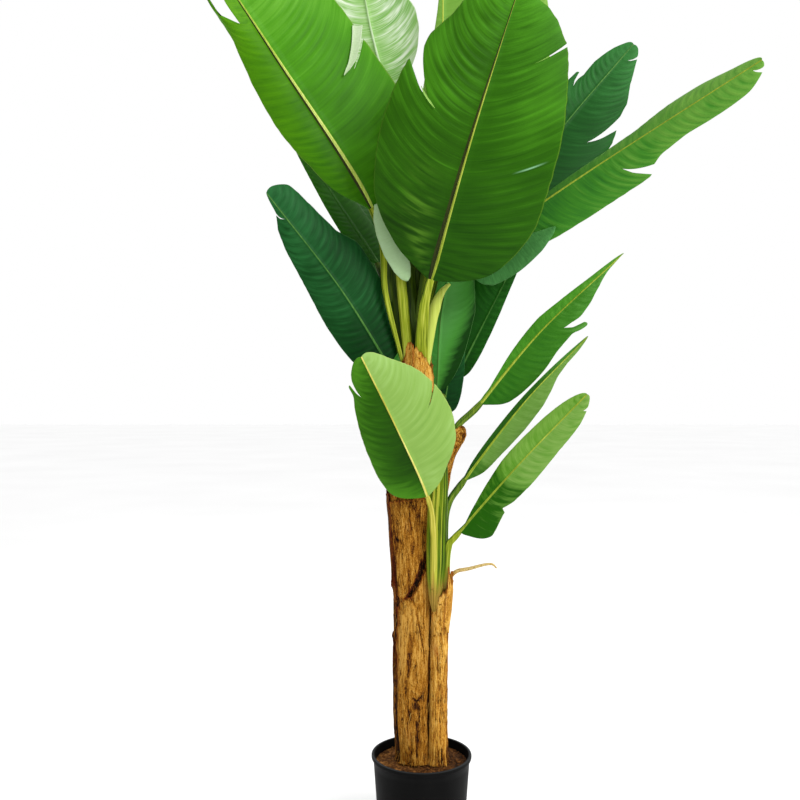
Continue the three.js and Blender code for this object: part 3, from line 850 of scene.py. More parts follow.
@dataclass(frozen=True)
class Leaf:
    """A leaf with its stalk, in the part's own rule carried to finer shape.

    points run foot, bend, collar, middle, tip; across is the way to the right half; stalk is
    the stalk's radius at the foot and at the collar, and rib the midrib's share of it in the
    blade. groove and stalk_shade are the stretches of the midrib's and of the stalk's width,
    from -1 to 1, that are painted dark as shade in the midrib's channel, beside it and between
    stalks. fold and flutter are the heights of the side veins' folds and
    of the slow waves at the edge, in millimetres.
    """

    node: str
    points: tuple[Point, ...]
    across: Point
    left: Half
    right: Half
    stalk: tuple[float, float]
    finish: LeafFinish
    tears: tuple[Tear, ...] = ()
    groove: tuple[float, float] = (0.0, 0.0)
    fold: float = 0.5
    flutter: float = 3.0
    seed: int = 1
    rib: float = 0.45
    stalk_shade: tuple[float, float] = (0.0, 0.0)

    def length(self) -> float:
        """Length of the blade from collar to middle to tip."""
        collar, middle, tip = (np.array(p) for p in self.points[2:])
        return float(np.linalg.norm(middle - collar) + np.linalg.norm(tip - middle))

    def stations(self) -> Array:
        """Places along the whole leaf: the stalk fills the first half and the blade the second,
        in even steps with finer ones at both ends of the blade and at the tears.

        Returns:
            The places, from 0 to 1.
        """
        even = np.arange(BLADE_ROWS) / BLADE_ROWS
        ends = 0.5 ** np.arange(1, FINE_STEPS + 1) / BLADE_ROWS
        lips = [tear.stations() for tear in self.tears]
        blade = np.unique(np.round(np.concatenate([even, ends, 1 - ends, *lips]), 6))
        stalk = np.linspace(0, 0.5, STALK_ROWS, endpoint=False)
        return np.concatenate([stalk, (1 + blade) / 2])

    def folds(self, s: Array, f: Array, side: Side) -> Array:
        """The side veins' folds from -1 to 1: a cosine along the blade, drifting and dying away
        by slow noise, and nothing at the midrib and the edge.

        Args:
            s: Places along the blade.
            f: Shares of the half's width.
            side: Which half.

        Returns:
            The folds' height at each.
        """
        drift = 0.4 * grain(s * 7, f * 1.3 + 5 * side, self.seed)
        patch = 0.55 + 0.45 * grain(s * 6, f * 2.5 + 9 * side, self.seed + 1)
        wave = np.cos(2 * math.pi * (s * self.length() / FOLD_PITCH + drift))
        return wave * patch * ease(f, 0.04, 0.35) * (1 - ease(f, 0.85, 1.0))

    def half(self, side: Side, u: Array) -> tuple[Array, Array, Array, Array]:
        """One half of the leaf, from the midrib to the edge.

        A point lies out from the midrib by its distance times the cosine of the slope and of
        the sweep, along by the distance times the sine of the sweep, and up by the distance
        times the sine of the slope; both faces then stand off by their own height. Slope and
        sweep go by the share of the whole width, so that a tear doesn't move what is left.

        Args:
            side: Which half.
            u: Places along the whole leaf.

        Returns:
            The upper points, the lower points, the shares of the half's width and the folds.
        """
        spec = self.left if side is Side.LEFT else self.right
        origin, along, across, up = (a[:, None, :] for a in Spine(self.points).frames(u, self.across))
        u = u[:, None]
        s = np.clip(u * 2 - 1, 0, 1)
        bladeness = ease(u, *COLLAR_STRETCH)
        rib = blend(*self.stalk, np.minimum(1, u * 2)) * (1 - s) * blend(1, self.rib, bladeness)
        rib = np.maximum(BLADE_THICKNESS, rib)
        open_width = spec.reach(s) * (1 + EDGE_GRAIN * grain(s * 55, side, self.seed + 2))
        torn = open_width
        for tear in self.tears:
            if tear.side is side:
                torn = torn * tear.left_over(s)
        least = rib * (1 - s)**TIP_POWER
        whole, width = np.maximum(least, open_width), np.maximum(least, torn)
        inner = np.minimum(rib, width / 2)
        steps = np.arange(RIB_COLUMNS + BLADE_COLUMNS + 1)[None, :]
        rib_share = np.minimum(steps / RIB_COLUMNS, 1)
        blade_steps = (np.zeros(RIB_COLUMNS), np.linspace(0, RIM_START, BLADE_COLUMNS), [1.0])
        blade_share = np.concatenate(blade_steps)[None, :]
        flat = inner * rib_share + (width - inner) * blade_share
        bend = steps / steps[0, -1]
        distance = blend(np.sin(bend * math.pi / 2) * rib, flat, bladeness)
        f, out = distance / width, distance / whole
        slope = np.radians(spec.lift + spec.curl * out) * bladeness
        places, degrees = zip(*spec.sweep)
        sweep = np.radians(np.interp(s, places, degrees)) * bladeness * out**spec.bend
        fold = self.folds(s, f, side) * bladeness
        wave = self.flutter * out**2 * grain(s * 5 + 3, side * 2.5, self.seed + 3) * bladeness
        rise = distance * np.sin(slope) + wave + self.fold * fold * ease(width, 10, 50)
        place = (origin + across * side * (distance * np.cos(slope) * np.cos(sweep))[..., None]
                 + along * (distance * np.sin(sweep))[..., None] + up * rise[..., None])
        off = up * np.cos(slope)[..., None] - across * side * np.sin(slope)[..., None]
        thin = BLADE_THICKNESS / 2 * (1 - blade_share**40)
        round_stalk = np.cos(bend * math.pi / 2)
        channel = 0.5 * np.clip(1 - (bend / 0.7)**2, 0, 1)
        lip = np.where(rib_share < 0.6, -0.25 + 0.5 * rib_share**2, np.sin(math.pi * rib_share) * 0.2)
        raised = np.where(steps <= RIB_COLUMNS, self.rib_profile(rib_share, lip), 0)
        keel = np.where(steps <= RIB_COLUMNS, np.sqrt(np.clip(1 - rib_share**2, 0, 1)), 0)
        upper = blend((round_stalk - channel) * rib, thin + raised * inner, bladeness)
        lower = blend(round_stalk * rib, thin + 0.9 * keel * inner, bladeness)
        return place + off * upper[..., None], place - off * lower[..., None], f, fold

    def rib_profile(self, share: Array, lip: Array) -> Array:
        """Height of the midrib over the blade: a channel with lips where its middle is painted dark
        as shade, and otherwise a low round bead.

        Args:
            share: Places from the midrib's middle to its side.
            lip: Heights of the channel with its lips.

        Returns:
            The height at each, as a share of the midrib's half width.
        """
        if self.groove[0] < 0 < self.groove[1]:
            return lip
        return 0.55 * np.sqrt(np.clip(1 - share**2, 0, 1))

    def skins(self, u: Array) -> Array:
        """Material slot of each face between two rings, by its place along and round the leaf.

        Args:
            u: Places along the whole leaf.

        Returns:
            The slots, one row for each stretch between two rings.
        """
        last = RIB_COLUMNS + BLADE_COLUMNS
        way = np.concatenate([np.arange(-last, last + 1), np.arange(last - 1, -last - 1, -1)])
        middle = (way[:-1] + way[1:]) / 2
        upper = np.arange(len(middle)) < 2 * last
        share = middle / RIB_COLUMNS
        # The dark spans take the slot that paints shade in the midrib's channel and beside it.
        dark = (share > self.groove[0]) & (share < self.groove[1]) & upper
        blade = np.where(upper, np.where(middle < 0, Skin.LEFT, Skin.RIGHT), Skin.BACK)
        row = np.where(np.abs(share) < 1, np.where(dark, Skin.SHADED_GROOVE, Skin.RIB), blade)
        share = middle / last
        dark = (share > self.stalk_shade[0]) & (share < self.stalk_shade[1]) & upper
        stalk = np.where(dark, int(Skin.SHADED_GROOVE), int(Skin.STALK))
        return np.where((u[:-1] < STALK_END)[:, None], stalk[None, :], row[None, :])

    def build(self) -> bpy.types.Object:
        """Makes the leaf: rings that run over the upper face from the left edge to the right and
        back under it, with the two faces sharing their edges.

        Returns:
            The object.
        """
        u = self.stations()
        left_up, left_down, left_f, left_fold = self.half(Side.LEFT, u)
        right_up, right_down, right_f, right_fold = self.half(Side.RIGHT, u)

        def around(a: Array, b: Array, c: Array, d: Array) -> Array:
            """One ring of the left upper, right upper, right lower and left lower grids.

            Args:
                a: Left upper grid.
                b: Right upper grid.
                c: Right lower grid.
                d: Left lower grid.

            Returns:
                The rings.
            """
            return np.concatenate([a[:, ::-1], b[:, 1:], c[:, -2::-1], d[:, 1:-1]], axis=1)

        rings = around(left_up, right_up, right_down, left_down)
        share = around(-left_f, right_f, right_f, -left_f)
        fold = around(left_fold, right_fold, right_fold, left_fold)
        uv = np.stack([np.broadcast_to(u[:, None], share.shape), (share + 1) / 2], axis=-1)
        tone = 0.3 * grain(share * 12, u[:, None] * 6, self.seed + 5) - 0.3 * ease(-share, 0.35, 1.0)
        shell = tube(rings, self.skins(u), uv, {"fold": fold, "tone": tone})
        return assemble(f"{self.node}_blade", [shell], self.finish.materials())


# Stems

LINE_SAMPLES = 400
SHEATH_ROWS = 96
SHEATH_COLUMNS = 76
SHEATH_THICKNESS = 1.3


@dataclass(frozen=True)
class Stem:
    """An upright stem: places of its middle and its radius from the foot up, as
    (height, x, y, radius). Bearings are in turns from the front, towards the right."""

    line: tuple[tuple[float, float, float, float], ...]
    seed: int
    rows: int
    columns: int

    def core(self, z: Array) -> tuple[Array, Array]:
        """Middle and radius at each height, from a smooth line through the listed ones.

        Args:
            z: Heights.

        Returns:
            The middles and the radii.
        """
        share = np.linspace(0, 1, LINE_SAMPLES)
        place, _ = Spine(self.line).at(share)
        x, y, radius = (np.interp(z, place[:, 0], place[:, k]) for k in (1, 2, 3))
        return np.stack([x, y], axis=-1), radius

    def surface(self, turn: Array, z: Array, out: Array) -> Array:
        """Point at a bearing and height: the middle plus radius and out along the bearing.

        Args:
            turn: Bearings.
            z: Heights.
            out: How far the points stand off the radius.

        Returns:
            The points.
        """
        middle, radius = self.core(z)
        angle = 2 * math.pi * turn
        x = middle[..., 0] + (radius + out) * np.sin(angle)
        y = middle[..., 1] - (radius + out) * np.cos(angle)
        return np.stack([x, y, z + 0 * x], axis=-1)

    def relief(self, turn: Array, z: Array) -> tuple[Array, Array]:
        """How far the surface stands out in millimetres, and its tone from 0 to 1."""
        raise NotImplementedError

    def shell(self) -> Shell:
        """The whole stem as rings at even heights.

        Returns:
            The shell, with its tones.
        """
        turn = (np.arange(self.columns) / self.columns)[None, :]
        z = np.linspace(self.line[0][0], self.line[-1][0], self.rows)[:, None]
        turn, z = np.broadcast_arrays(turn, z)
        out, tone = self.relief(turn, z)
        return tube(self.surface(turn, z, out), values={"tone": tone})


@dataclass(frozen=True)
class Cleft:
    """A dark cleft or a raised welt along a line of (bearing in turns, height).

    width runs from the line's start to its end; depth and tone are what is taken away in it, the tone being
    painted shade in the cleft."""

    line: tuple[tuple[float, float], ...]
    width: tuple[float, float] = (2.0, 2.0)
    depth: float = 1.5
    tone: float = 0.6

    def mask(self, bearing: Array, z: Array, girth: float) -> Array:
        """1 on the line, falling off as a steep bell over the width of its nearest stretch.

        Args:
            bearing: Bearings from -0.5 to 0.5.
            z: Heights.
            girth: Length of one turn round the stem.

        Returns:
            The share of the cleft at each place.
        """
        best = np.zeros(np.broadcast(bearing, z).shape)
        stretches = len(self.line) - 1
        for k, (start, end) in enumerate(zip(self.line, self.line[1:])):
            dx, dz = (end[0] - start[0]) * girth, end[1] - start[1]
            x, y = (bearing - start[0]) * girth, z - start[1]
            share = np.clip((x * dx + y * dz) / (dx * dx + dz * dz), 0, 1)
            width = blend(*self.width, (k + share) / stretches)
            gap = np.hypot(x - share * dx, y - share * dz)
            best = np.maximum(best, np.exp(-(gap / width)**4))
        return best


@dataclass(frozen=True)
class BarkStem(Stem):
    """A stem of dried fibrous sheaths, darker on its left side by painted shade away from the light
    on the right, and on its right side by a dark edge and painted shade where the stems meet.

    heights and tones are how far folds, strands, flakes and cracks stand out, and how much
    lighter they are; the cracks' darkening is painted shade in them."""

    folds: int = 13
    heights: tuple[float, float, float, float] = (1.6, 0.9, 0.5, -2.2)
    tones: tuple[float, float, float, float] = (0.12, 0.14, 0.12, -0.45)
    middle_tone: float = 0.52
    flare: float = 4.0
    left_painted_shade: float = 0.0
    right_dark_edge_and_shade: float = 0.0
    clefts: tuple[Cleft, ...] = ()

    def relief(self, turn: Array, z: Array) -> tuple[Array, Array]:
        """Broad folds, ridged strands, flaky patches and narrow cracks, all long in height.

        Args:
            turn: Bearings.
            z: Heights.

        Returns:
            How far the surface stands out, and its tone.
        """
        sway = 0.25 * grain(turn * 6, z / 70, self.seed + 9, wrap=6)
        folds = grain(turn * self.folds + sway, z / 130, self.seed, wrap=self.folds)
        strands = 1 - 2 * np.abs(grain(turn * 46 + sway, z / 60, self.seed + 1, wrap=46))
        flakes = grain(turn * 34 + 2 * sway, z / 22, self.seed + 2, wrap=34)
        line = np.abs(grain(turn * 22 + 2 * sway, z / 110, self.seed + 3, wrap=22))
        broken = ease(grain(turn * 9, z / 45, self.seed + 4, wrap=9), -0.1, 0.35)
        cracks = (1 - ease(line, 0.0, 0.12)) * broken
        height = z - self.line[0][0]
        ragged = 0.5 + 0.5 * grain(turn * 20, z / 20, self.seed + 5, wrap=20)
        flare = self.flare * np.exp(-height / 14) * ragged
        forms = (folds, strands, flakes, cracks)
        out = sum(share * form for share, form in zip(self.heights, forms)) + flare
        # The cracks' darkening is painted shade in them.
        tone = self.middle_tone + sum(share * form for share, form in zip(self.tones, forms))
        bearing = (turn + 0.5) % 1 - 0.5
        # Painted shade on the left side, away from the key light on the right; the right side darkens by a
        # dark edge and by painted shade where the stems meet.
        tone = tone - self.left_painted_shade * ease(-bearing, 0.12, 0.17)
        tone = tone - self.right_dark_edge_and_shade * ease(bearing, 0.13, 0.19)
        # Clefts are sunk in and darkened: painted shade in the recesses.
        for cleft in self.clefts:
            dark = cleft.mask(bearing, z, 2 * math.pi * self.line[0][3])
            out, tone = out - cleft.depth * dark, tone - cleft.tone * dark
        return out, np.clip(tone, 0, 1)


@dataclass(frozen=True)
class StalkStem(Stem):
    """A bundle of green leaf stalks grown together: tones and grooves by bearing.

    bands lists (bearing in turns, tone); each change of band has a groove between, darkened as painted
    shade."""

    bands: tuple[tuple[float, float], ...] = ((0.0, 0.5),)
    groove: float = 2.0

    def relief(self, turn: Array, z: Array) -> tuple[Array, Array]:
        """Rounded stalks side by side, with a narrow valley between each two.

        Args:
            turn: Bearings.
            z: Heights.

        Returns:
            How far the surface stands out, and its tone.
        """
        bearing = (turn + 0.5) % 1 - 0.5
        places = np.array([b for b, _ in self.bands])
        tones = np.array([t for _, t in self.bands])
        sway = 0.006 * grain(turn * 4, z / 60, self.seed, wrap=4)
        gap = np.abs(bearing[..., None] + sway[..., None] - places)
        valley = np.exp(-(gap.min(-1) / 0.014)**2)
        index = np.searchsorted(places, bearing + sway) % len(places)
        streaks = grain(turn * 90, z / 120, self.seed + 1, wrap=90)
        # The valleys between stalks are darkened: painted shade.
        tone = tones[index] + 0.1 * streaks - 0.35 * valley
        return -self.groove * valley + 0.25 * streaks, np.clip(tone, -0.3, 1)


@dataclass(frozen=True)
class Sheath:
    """A dried leaf sheath that lies on a stem, with frayed edges that stand off it.

    top and bottom list (bearing in turns, height) along the two edges, from left to right; off
    is its height over the stem, fray how ragged its two edges are, sink whether its lower edge
    lies in the stem, and brightness what is added to the stem's tone."""

    stem: Stem
    top: tuple[tuple[float, float], ...]
    bottom: tuple[tuple[float, float], ...]
    off: float = 2.6
    fray: float = 3.0
    seed: int = 1
    sink: bool = False
    brightness: float = 0.06

    def shell(self) -> Shell:
        """The sheath as two grids from its upper to its lower edge.

        Its height over the stem's own relief is the same all over, rises at the free edges and
        falls to nothing at a lower edge that is sunk in.

        Returns:
            The shell, with its tones and its rust.
        """
        a = np.linspace(0, 1, SHEATH_COLUMNS)[None, :]
        b = np.linspace(0, 1, SHEATH_ROWS)[:, None]
        top, bottom = np.array(self.top), np.array(self.bottom)
        left, right = blend(top[0, 0], bottom[0, 0], b), blend(top[-1, 0], bottom[-1, 0], b)
        ragged = 0.006 * grain(b * 14, 0, self.seed)
        turn = blend(left + ragged, right + 0.006 * grain(b * 17, 3, self.seed), a)
        high = np.interp(turn, top[:, 0], top[:, 1]) + self.fray * grain(a * 22, 1, self.seed + 1)
        low = np.interp(turn, bottom[:, 0], bottom[:, 1]) + self.fray * grain(a * 26, 2, self.seed + 2)
        z = blend(high, low, b)
        relief, tone = self.stem.relief(turn + 1e-9, z)
        side = np.minimum(a, 1 - a) * 2
        end = np.minimum(b, 1 - b) * 2
        lift = 1.4 * np.exp(-side * 12) + 1.8 * np.exp(-end * 16)
        keep = 1 - ease(b, 0.55, 1.0) if self.sink else 1.0
        out = (self.off + lift + 0.4 * relief) * keep + relief * 0.35
        border = np.exp(-side * 13) + np.exp(-end * 32) * keep
        tone = np.clip(tone + self.brightness - 0.12 * border, 0, 1)
        outer = self.stem.surface(turn, z, out)
        inner = self.stem.surface(turn, z, out - SHEATH_THICKNESS - 2.5 * (1 - np.exp(-side * 6)))
        numbers = {"tone": np.broadcast_to(tone, z.shape), "rust": np.clip(0.65 * border + 0 * z, 0, 0.8)}
        return pillow(outer, inner, values=numbers)


# Small pieces

FIBRE_ROWS = 7
FIBRE_SIDES = 3


def strands(feet: Array, heads: Array, bow: Array, width: float, tone: Array) -> Shell:
    """Many thin bowed fibres in one shell.

    Each runs straight from foot to head plus its bow times a half sine, is three-sided and
    thins to nothing at the head by the square root of what is left.

    Args:
        feet: Where they start, (count, 3).
        heads: Where they end, (count, 3).
        bow: How far the middle stands off the straight line, (count, 3).
        width: Half width at the foot.
        tone: Tone of each, (count,).

    Returns:
        The shell of all of them.
    """
    rows, sides = FIBRE_ROWS, FIBRE_SIDES
    t = np.linspace(0, 1, rows)[None, :, None]
    line = blend(feet[:, None], heads[:, None], t) + bow[:, None] * np.sin(math.pi * t)
    along = heads - feet
    along /= np.linalg.norm(along, axis=1, keepdims=True)
    first = np.cross(along, [0.3, 0.2, 0.9])
    first /= np.linalg.norm(first, axis=1, keepdims=True)
    second = np.cross(along, first)
    angle = (2 * math.pi * np.arange(sides) / sides)[None, None, :, None]
    ring = np.cos(angle) * first[:, None, None] + 0.5 * np.sin(angle) * second[:, None, None]
    points = line[:, :, None] + ring * (width * np.sqrt(1.02 - t))[..., None]
    count = len(feet)
    index = np.arange(count * rows * sides).reshape(count, rows, sides)
    closed = np.concatenate([index, index[:, :, :1]], axis=2)
    corners = (closed[:, :-1, :-1], closed[:, :-1, 1:], closed[:, 1:, 1:], closed[:, 1:, :-1])
    sides_of = np.stack(corners, axis=-1).reshape(-1, 4)
    caps = np.concatenate([index[:, 0, ::-1], index[:, -1]])
    return Shell(
        points=points.reshape(-1, 3),
        faces=[sides_of, caps],
        slots=[np.zeros(len(sides_of), int), np.zeros(len(caps), int)],
        values={"tone": np.repeat(tone, rows * sides)},
    ).facing_out()


@dataclass(frozen=True)
class Twig:
    """A small round piece along a line, whose radius runs from foot to middle to tip."""

    node: str
    points: tuple[Point, ...]
    radii: tuple[float, float, float]
    finish: StalkFinish | BarkFinish
    rows: int = 80
    columns: int = 20

    def rings(self) -> tuple[Array, Array, Array, Array, Array]:
        """Rings round the line.

        Returns:
            The rings' middles, their outward directions and their radii, with the places along
            and round.
        """
        t = np.linspace(0, 1, self.rows)
        turn = (np.arange(self.columns) / self.columns)[None, :]
        place, _, side, up = Spine(self.points).frames(t, (0.3, 1, 0.1))
        radius = np.interp(t, [0, 0.5, 1], self.radii)
        angle = 2 * math.pi * turn[..., None]
        out = np.cos(angle) * side[:, None] + np.sin(angle) * up[:, None]
        return place[:, None], out, radius[:, None], t[:, None], turn

    def skin(self, points: Array, tone: Array) -> bpy.types.Object:
        """The piece with a skin over its rings."""
        shell = tube(points, values={"tone": tone})
        return assemble(f"{self.node}_piece", [shell], [self.finish.material()])


@dataclass(frozen=True)
class YoungShoot(Twig):
    """The rolled young leaf: a cone with one edge lying over the other in a steep spiral."""

    rows: int = 90
    columns: int = 48

    def build(self) -> bpy.types.Object:
        """Makes the cone; its radius steps at the spiral seam and its tone falls there.

        Returns:
            The object.
        """
        middle, out, radius, t, turn = self.rings()
        around = (turn + 0.35 - 0.5 * t) % 1
        seam = np.exp(-(np.minimum(around, 1 - around) / 0.035)**2)
        step = 1 + 0.16 * (around - 0.5)
        points = middle + out * (radius * step - 0.9 * seam * (1 - t))[..., None]
        return self.skin(points, 0.2 + 0.25 * around - 0.4 * seam + 0.1 * t)


@dataclass(frozen=True)
class CutStub(Twig):
    """The cut leaf base: a flared fibrous stub with a pitted end, cut at a slant.

    slant is how far the end's back stands up, and its front down, from its middle; pith_rings
    are the first and the last ring of the end, as shares of its radius."""

    rows: int = 70
    columns: int = 56
    slant: float = 0.0
    pith_rings: tuple[float, float] = (0.86, 0.06)

    def build(self) -> bpy.types.Object:
        """Makes the stub: ridged sides, a rough lip and a pith that sinks in behind it.

        Returns:
            The object.
        """
        middle, out, radius, t, turn = self.rings()
        ridge = grain(turn * 18, t * 5, 61, wrap=18)
        rough = grain(turn * 24, t * 16, 62, wrap=24)
        _, along = Spine(self.points).at(np.array([1.0]))
        lean = self.slant * out[..., 1:2] * along
        sides = middle + out * (radius + 0.9 * ridge + 0.6 * rough)[..., None]
        sides = sides + lean * ease(t, 0.7, 1)[..., None]
        ring = np.linspace(*self.pith_rings, 9)[:, None]
        pits = grain(turn * 9 + ring * 4, ring * 7, 63, wrap=9)
        sink = 1.5 * (1 - ring**3) + 2.2 * pits
        pith = middle[-1:] + out[-1:] * (ring * radius[-1] * 0.97)[..., None] - along * sink[..., None]
        points = np.concatenate([sides, pith + lean[-1:] * ring[..., None]])
        side_tone, pith_tone = 0.5 + 0.25 * ridge + 0.2 * rough, 0.45 + 0.45 * pits + 0.1 * ring
        return self.skin(points, np.concatenate([side_tone, pith_tone]))


@dataclass(frozen=True)
class DryTail(Twig):
    """The dry curl: a flattened, ridged tail that thins to its tip."""

    def build(self) -> bpy.types.Object:
        """Makes the tail, ridged lengthwise, narrower one way and darker at its foot.

        Returns:
            The object.
        """
        middle, out, radius, t, turn = self.rings()
        ridge = grain(turn * 7, t * 9, 71, wrap=7)
        flat = 1 - 0.35 * np.abs(np.sin(2 * math.pi * turn))
        points = middle + out * (radius * flat * (1 + 0.16 * ridge))[..., None]
        return self.skin(points, 0.7 + 0.15 * ridge - 0.35 * np.exp(-t * 9))


FLAP_ROWS = 70
FLAP_COLUMNS = 25


@dataclass(frozen=True)
class Flap:
    """A strip of blade that hangs or is folded over, along a line.

    widths lists (place along the line, width to the left, width to the right), and bow is how
    far the strip's middle stands out of its edges."""

    points: tuple[Point, ...]
    across: Point
    widths: tuple[tuple[float, float, float], ...]
    bow: float = 3.0

    def shell(self) -> Shell:
        """The strip as two faces a blade's thickness apart: a point lies across the line by the
        width of its side and is raised by the bow times one less its share squared.

        Returns:
            The shell.
        """
        t = np.linspace(0, 1, FLAP_ROWS)
        a = np.linspace(-1, 1, FLAP_COLUMNS)[None, :]
        place, _, side, up = (row[:, None, :] for row in Spine(self.points).frames(t, self.across))
        places, left, right = np.array(self.widths).T
        width = np.where(a < 0, np.interp(t, places, left)[:, None], np.interp(t, places, right)[:, None])
        middle = place + side * (a * width)[..., None] + up * (self.bow * (1 - a**2))[..., None]
        uv = np.stack(np.broadcast_arrays((1 + t[:, None]) / 2, (a + 1) / 2), axis=-1)
        half = up * BLADE_THICKNESS / 2
        return pillow(middle + half, middle - half, uv)


# Pot and soil


@dataclass(frozen=True)
class Pot:
    """A plain tapered pot with a thin rim band, filled with coir.

    gap is the room between coir and wall; flake is the half length, the half width and the half
    thickness of a loose flake."""

    height: float = 175.0
    rim_radius: float = 100.0
    mouth_radius: float = 97.0
    base_radius: float = 84.0
    wall: float = 3.0
    rim_depth: float = 7.0
    floor: float = 5.0
    soil_top: float = 160.0
    soil_dome: float = 4.0
    gap: float = 0.6
    flake: Point = (4.2, 1.3, 0.7)
    columns: int = 160

    def radius(self, z: Array) -> Array:
        """Radius of the outer face, in a straight line from the base to the mouth."""
        return blend(self.base_radius, self.mouth_radius, z / self.height)

    def turned(self, profile: list[tuple[float, float]], steps: int = 5) -> Array:
        """Rings of a profile of (radius, height) turned about the upright axis, each of its
        straight stretches cut into equal steps.

        Args:
            profile: Its corners in order.
            steps: Steps in each straight stretch.

        Returns:
            The rings' points, (rows, columns, 3).
        """
        corners = np.array(profile, float)
        share = np.linspace(0, len(corners) - 1, (len(corners) - 1) * steps + 1)
        radius = np.interp(share, np.arange(len(corners)), corners[:, 0])[:, None]
        z = np.interp(share, np.arange(len(corners)), corners[:, 1])[:, None]
        angle = (2 * math.pi * np.arange(self.columns) / self.columns)[None, :]
        return np.stack(np.broadcast_arrays(radius * np.sin(angle), -radius * np.cos(angle), z), axis=-1)

    def build(self) -> bpy.types.Object:
        """Makes the cup: outer wall, rolled rim and inner wall, with rounded corners.

        Returns:
            The object.
        """
        band = self.height - self.rim_depth
        rim, top = self.rim_radius, self.height
        inside = self.mouth_radius - self.wall
        profile = [
            (0.5, 0.0), (self.base_radius - 3, 0.0), (self.base_radius - 1.2, 0.4), (self.radius(3.0), 3.0),
            (self.radius(band * 0.5), band * 0.5), (self.radius(band) - 0.1, band - 0.4), (rim - 1.0, band),
            (rim - 0.2, band + 0.5), (rim, band + 1.6), (rim, top - 1.4), (rim - 0.5, top - 0.4),
            (rim - 1.4, top), (inside + 1.2, top), (inside + 0.3, top - 0.5), (inside, top - 1.5),
            (self.radius(self.floor) - self.wall, self.floor), (0.5, self.floor),
        ]
        rings = self.turned(profile)
        z = rings[..., 2]
        reach = np.hypot(rings[..., 0], rings[..., 1])
        # Painted highlight along the rim's top, where light catches it.
        edge = ease(z, top - 1.6, top - 0.1) * ease(reach, inside, rim - 2) * 0.8
        return assemble("pot_shell", [tube(rings, values={"edge": edge})], [PlasticFinish().material()])

    def soil(self) -> bpy.types.Object:
        """Makes the coir fill: a crumbly top that climbs a little to the stems, with loose flakes.

        Returns:
            The object.
        """
        rows = 60
        rim = self.radius(self.soil_top) - self.wall - self.gap
        share = np.linspace(1, 0.004, rows)[:, None]
        turn = (np.arange(self.columns) / self.columns)[None, :]
        angle = 2 * math.pi * turn
        x, y = rim * share * np.sin(angle), -rim * share * np.cos(angle)
        sizes = ((1.8, 5, 81), (1.2, 2.2, 82), (2.0, 17, 83))
        crumbs = sum(height * grain(x / size, y / size, seed) for height, size, seed in sizes)
        dome = self.soil_dome * ease(1 - share, 0.0, 0.5)
        z = self.soil_top - 2 + dome + crumbs * ease(1 - share, 0.0, 0.03)
        top = np.stack([x, y, z], axis=-1)
        foot = self.radius(self.floor) - self.wall - self.gap
        corners = [(0.5, self.floor + 0.3), (foot, self.floor + 0.3), (rim, self.soil_top - 3)]
        below = self.turned(corners, 3)
        return assemble("soil_fill", [tube(np.concatenate([below, top]))], [SoilFinish().material()])

    def flakes(self, count: int = 520, seed: int = 5) -> bpy.types.Object:
        """Makes loose coir flakes: flat stretched eight-sided chips lying at random on the soil.

        Args:
            count: How many.
            seed: Number that picks their places.

        Returns:
            One object of all of them.
        """
        rng = np.random.default_rng(seed)
        reach = (self.mouth_radius - 6) * np.sqrt(rng.uniform(0.12, 0.94, count))
        bearing = rng.uniform(0, 2 * math.pi, count)
        middle = np.stack([reach * np.sin(bearing), -reach * np.cos(bearing)], axis=-1)
        dome = self.soil_dome * ease(1 - reach / self.mouth_radius, 0, 0.5)
        z = self.soil_top + 1.0 + dome + rng.uniform(-1, 2, count)
        centre = np.column_stack([middle, z])
        way = rng.uniform(0, 2 * math.pi, count)
        tilt = rng.uniform(-0.35, 0.35, count)
        along = np.column_stack([np.cos(way) * np.cos(tilt), np.sin(way) * np.cos(tilt), np.sin(tilt)])
        side = np.column_stack([-np.sin(way), np.cos(way), rng.uniform(-0.3, 0.3, count)])
        up = np.cross(along, side)
        size = rng.uniform(0.6, 1.0, count)[:, None]
        length, width, thickness = self.flake
        long, wide, thick = along * length * size, side * width * size, up * thickness
        points = np.stack([centre + arm for arm in (long, wide, -long, -wide, thick, -thick)], axis=1)
        upper = [[k, (k + 1) % 4, 4] for k in range(4)]
        ring = np.array(upper + [[b, a, 5] for a, b, _ in upper])
        faces = (ring[None] + 6 * np.arange(count)[:, None, None]).reshape(-1, 3)
        shell = Shell(points.reshape(-1, 3), [faces], [np.zeros(len(faces), int)]).facing_out()
        return assemble("soil_flakes", [shell], [SoilFinish("2a170b", "6b421f", "a9763b").material()])


# Studio


@dataclass(frozen=True)
class Lamp:
    """A soft rectangular light that looks at the plant."""

    name: str
    place: Point
    size: float
    watts: float
    colour: Point = (1.0, 1.0, 1.0)

    def build(self, target: Vector) -> None:
        """Makes the light, turned to its target.

        Args:
            target: The place that it looks at.
        """
        light = bpy.data.lights.new(self.name, "AREA")
        light.size = self.size
        light.energy = self.watts
        light.color = self.colour
        lamp = bpy.data.objects.new(self.name, light)
        lamp.location = self.place
        lamp.rotation_euler = (target - Vector(self.place)).to_track_quat("-Z", "Y").to_euler()
        bpy.context.scene.collection.objects.link(lamp)


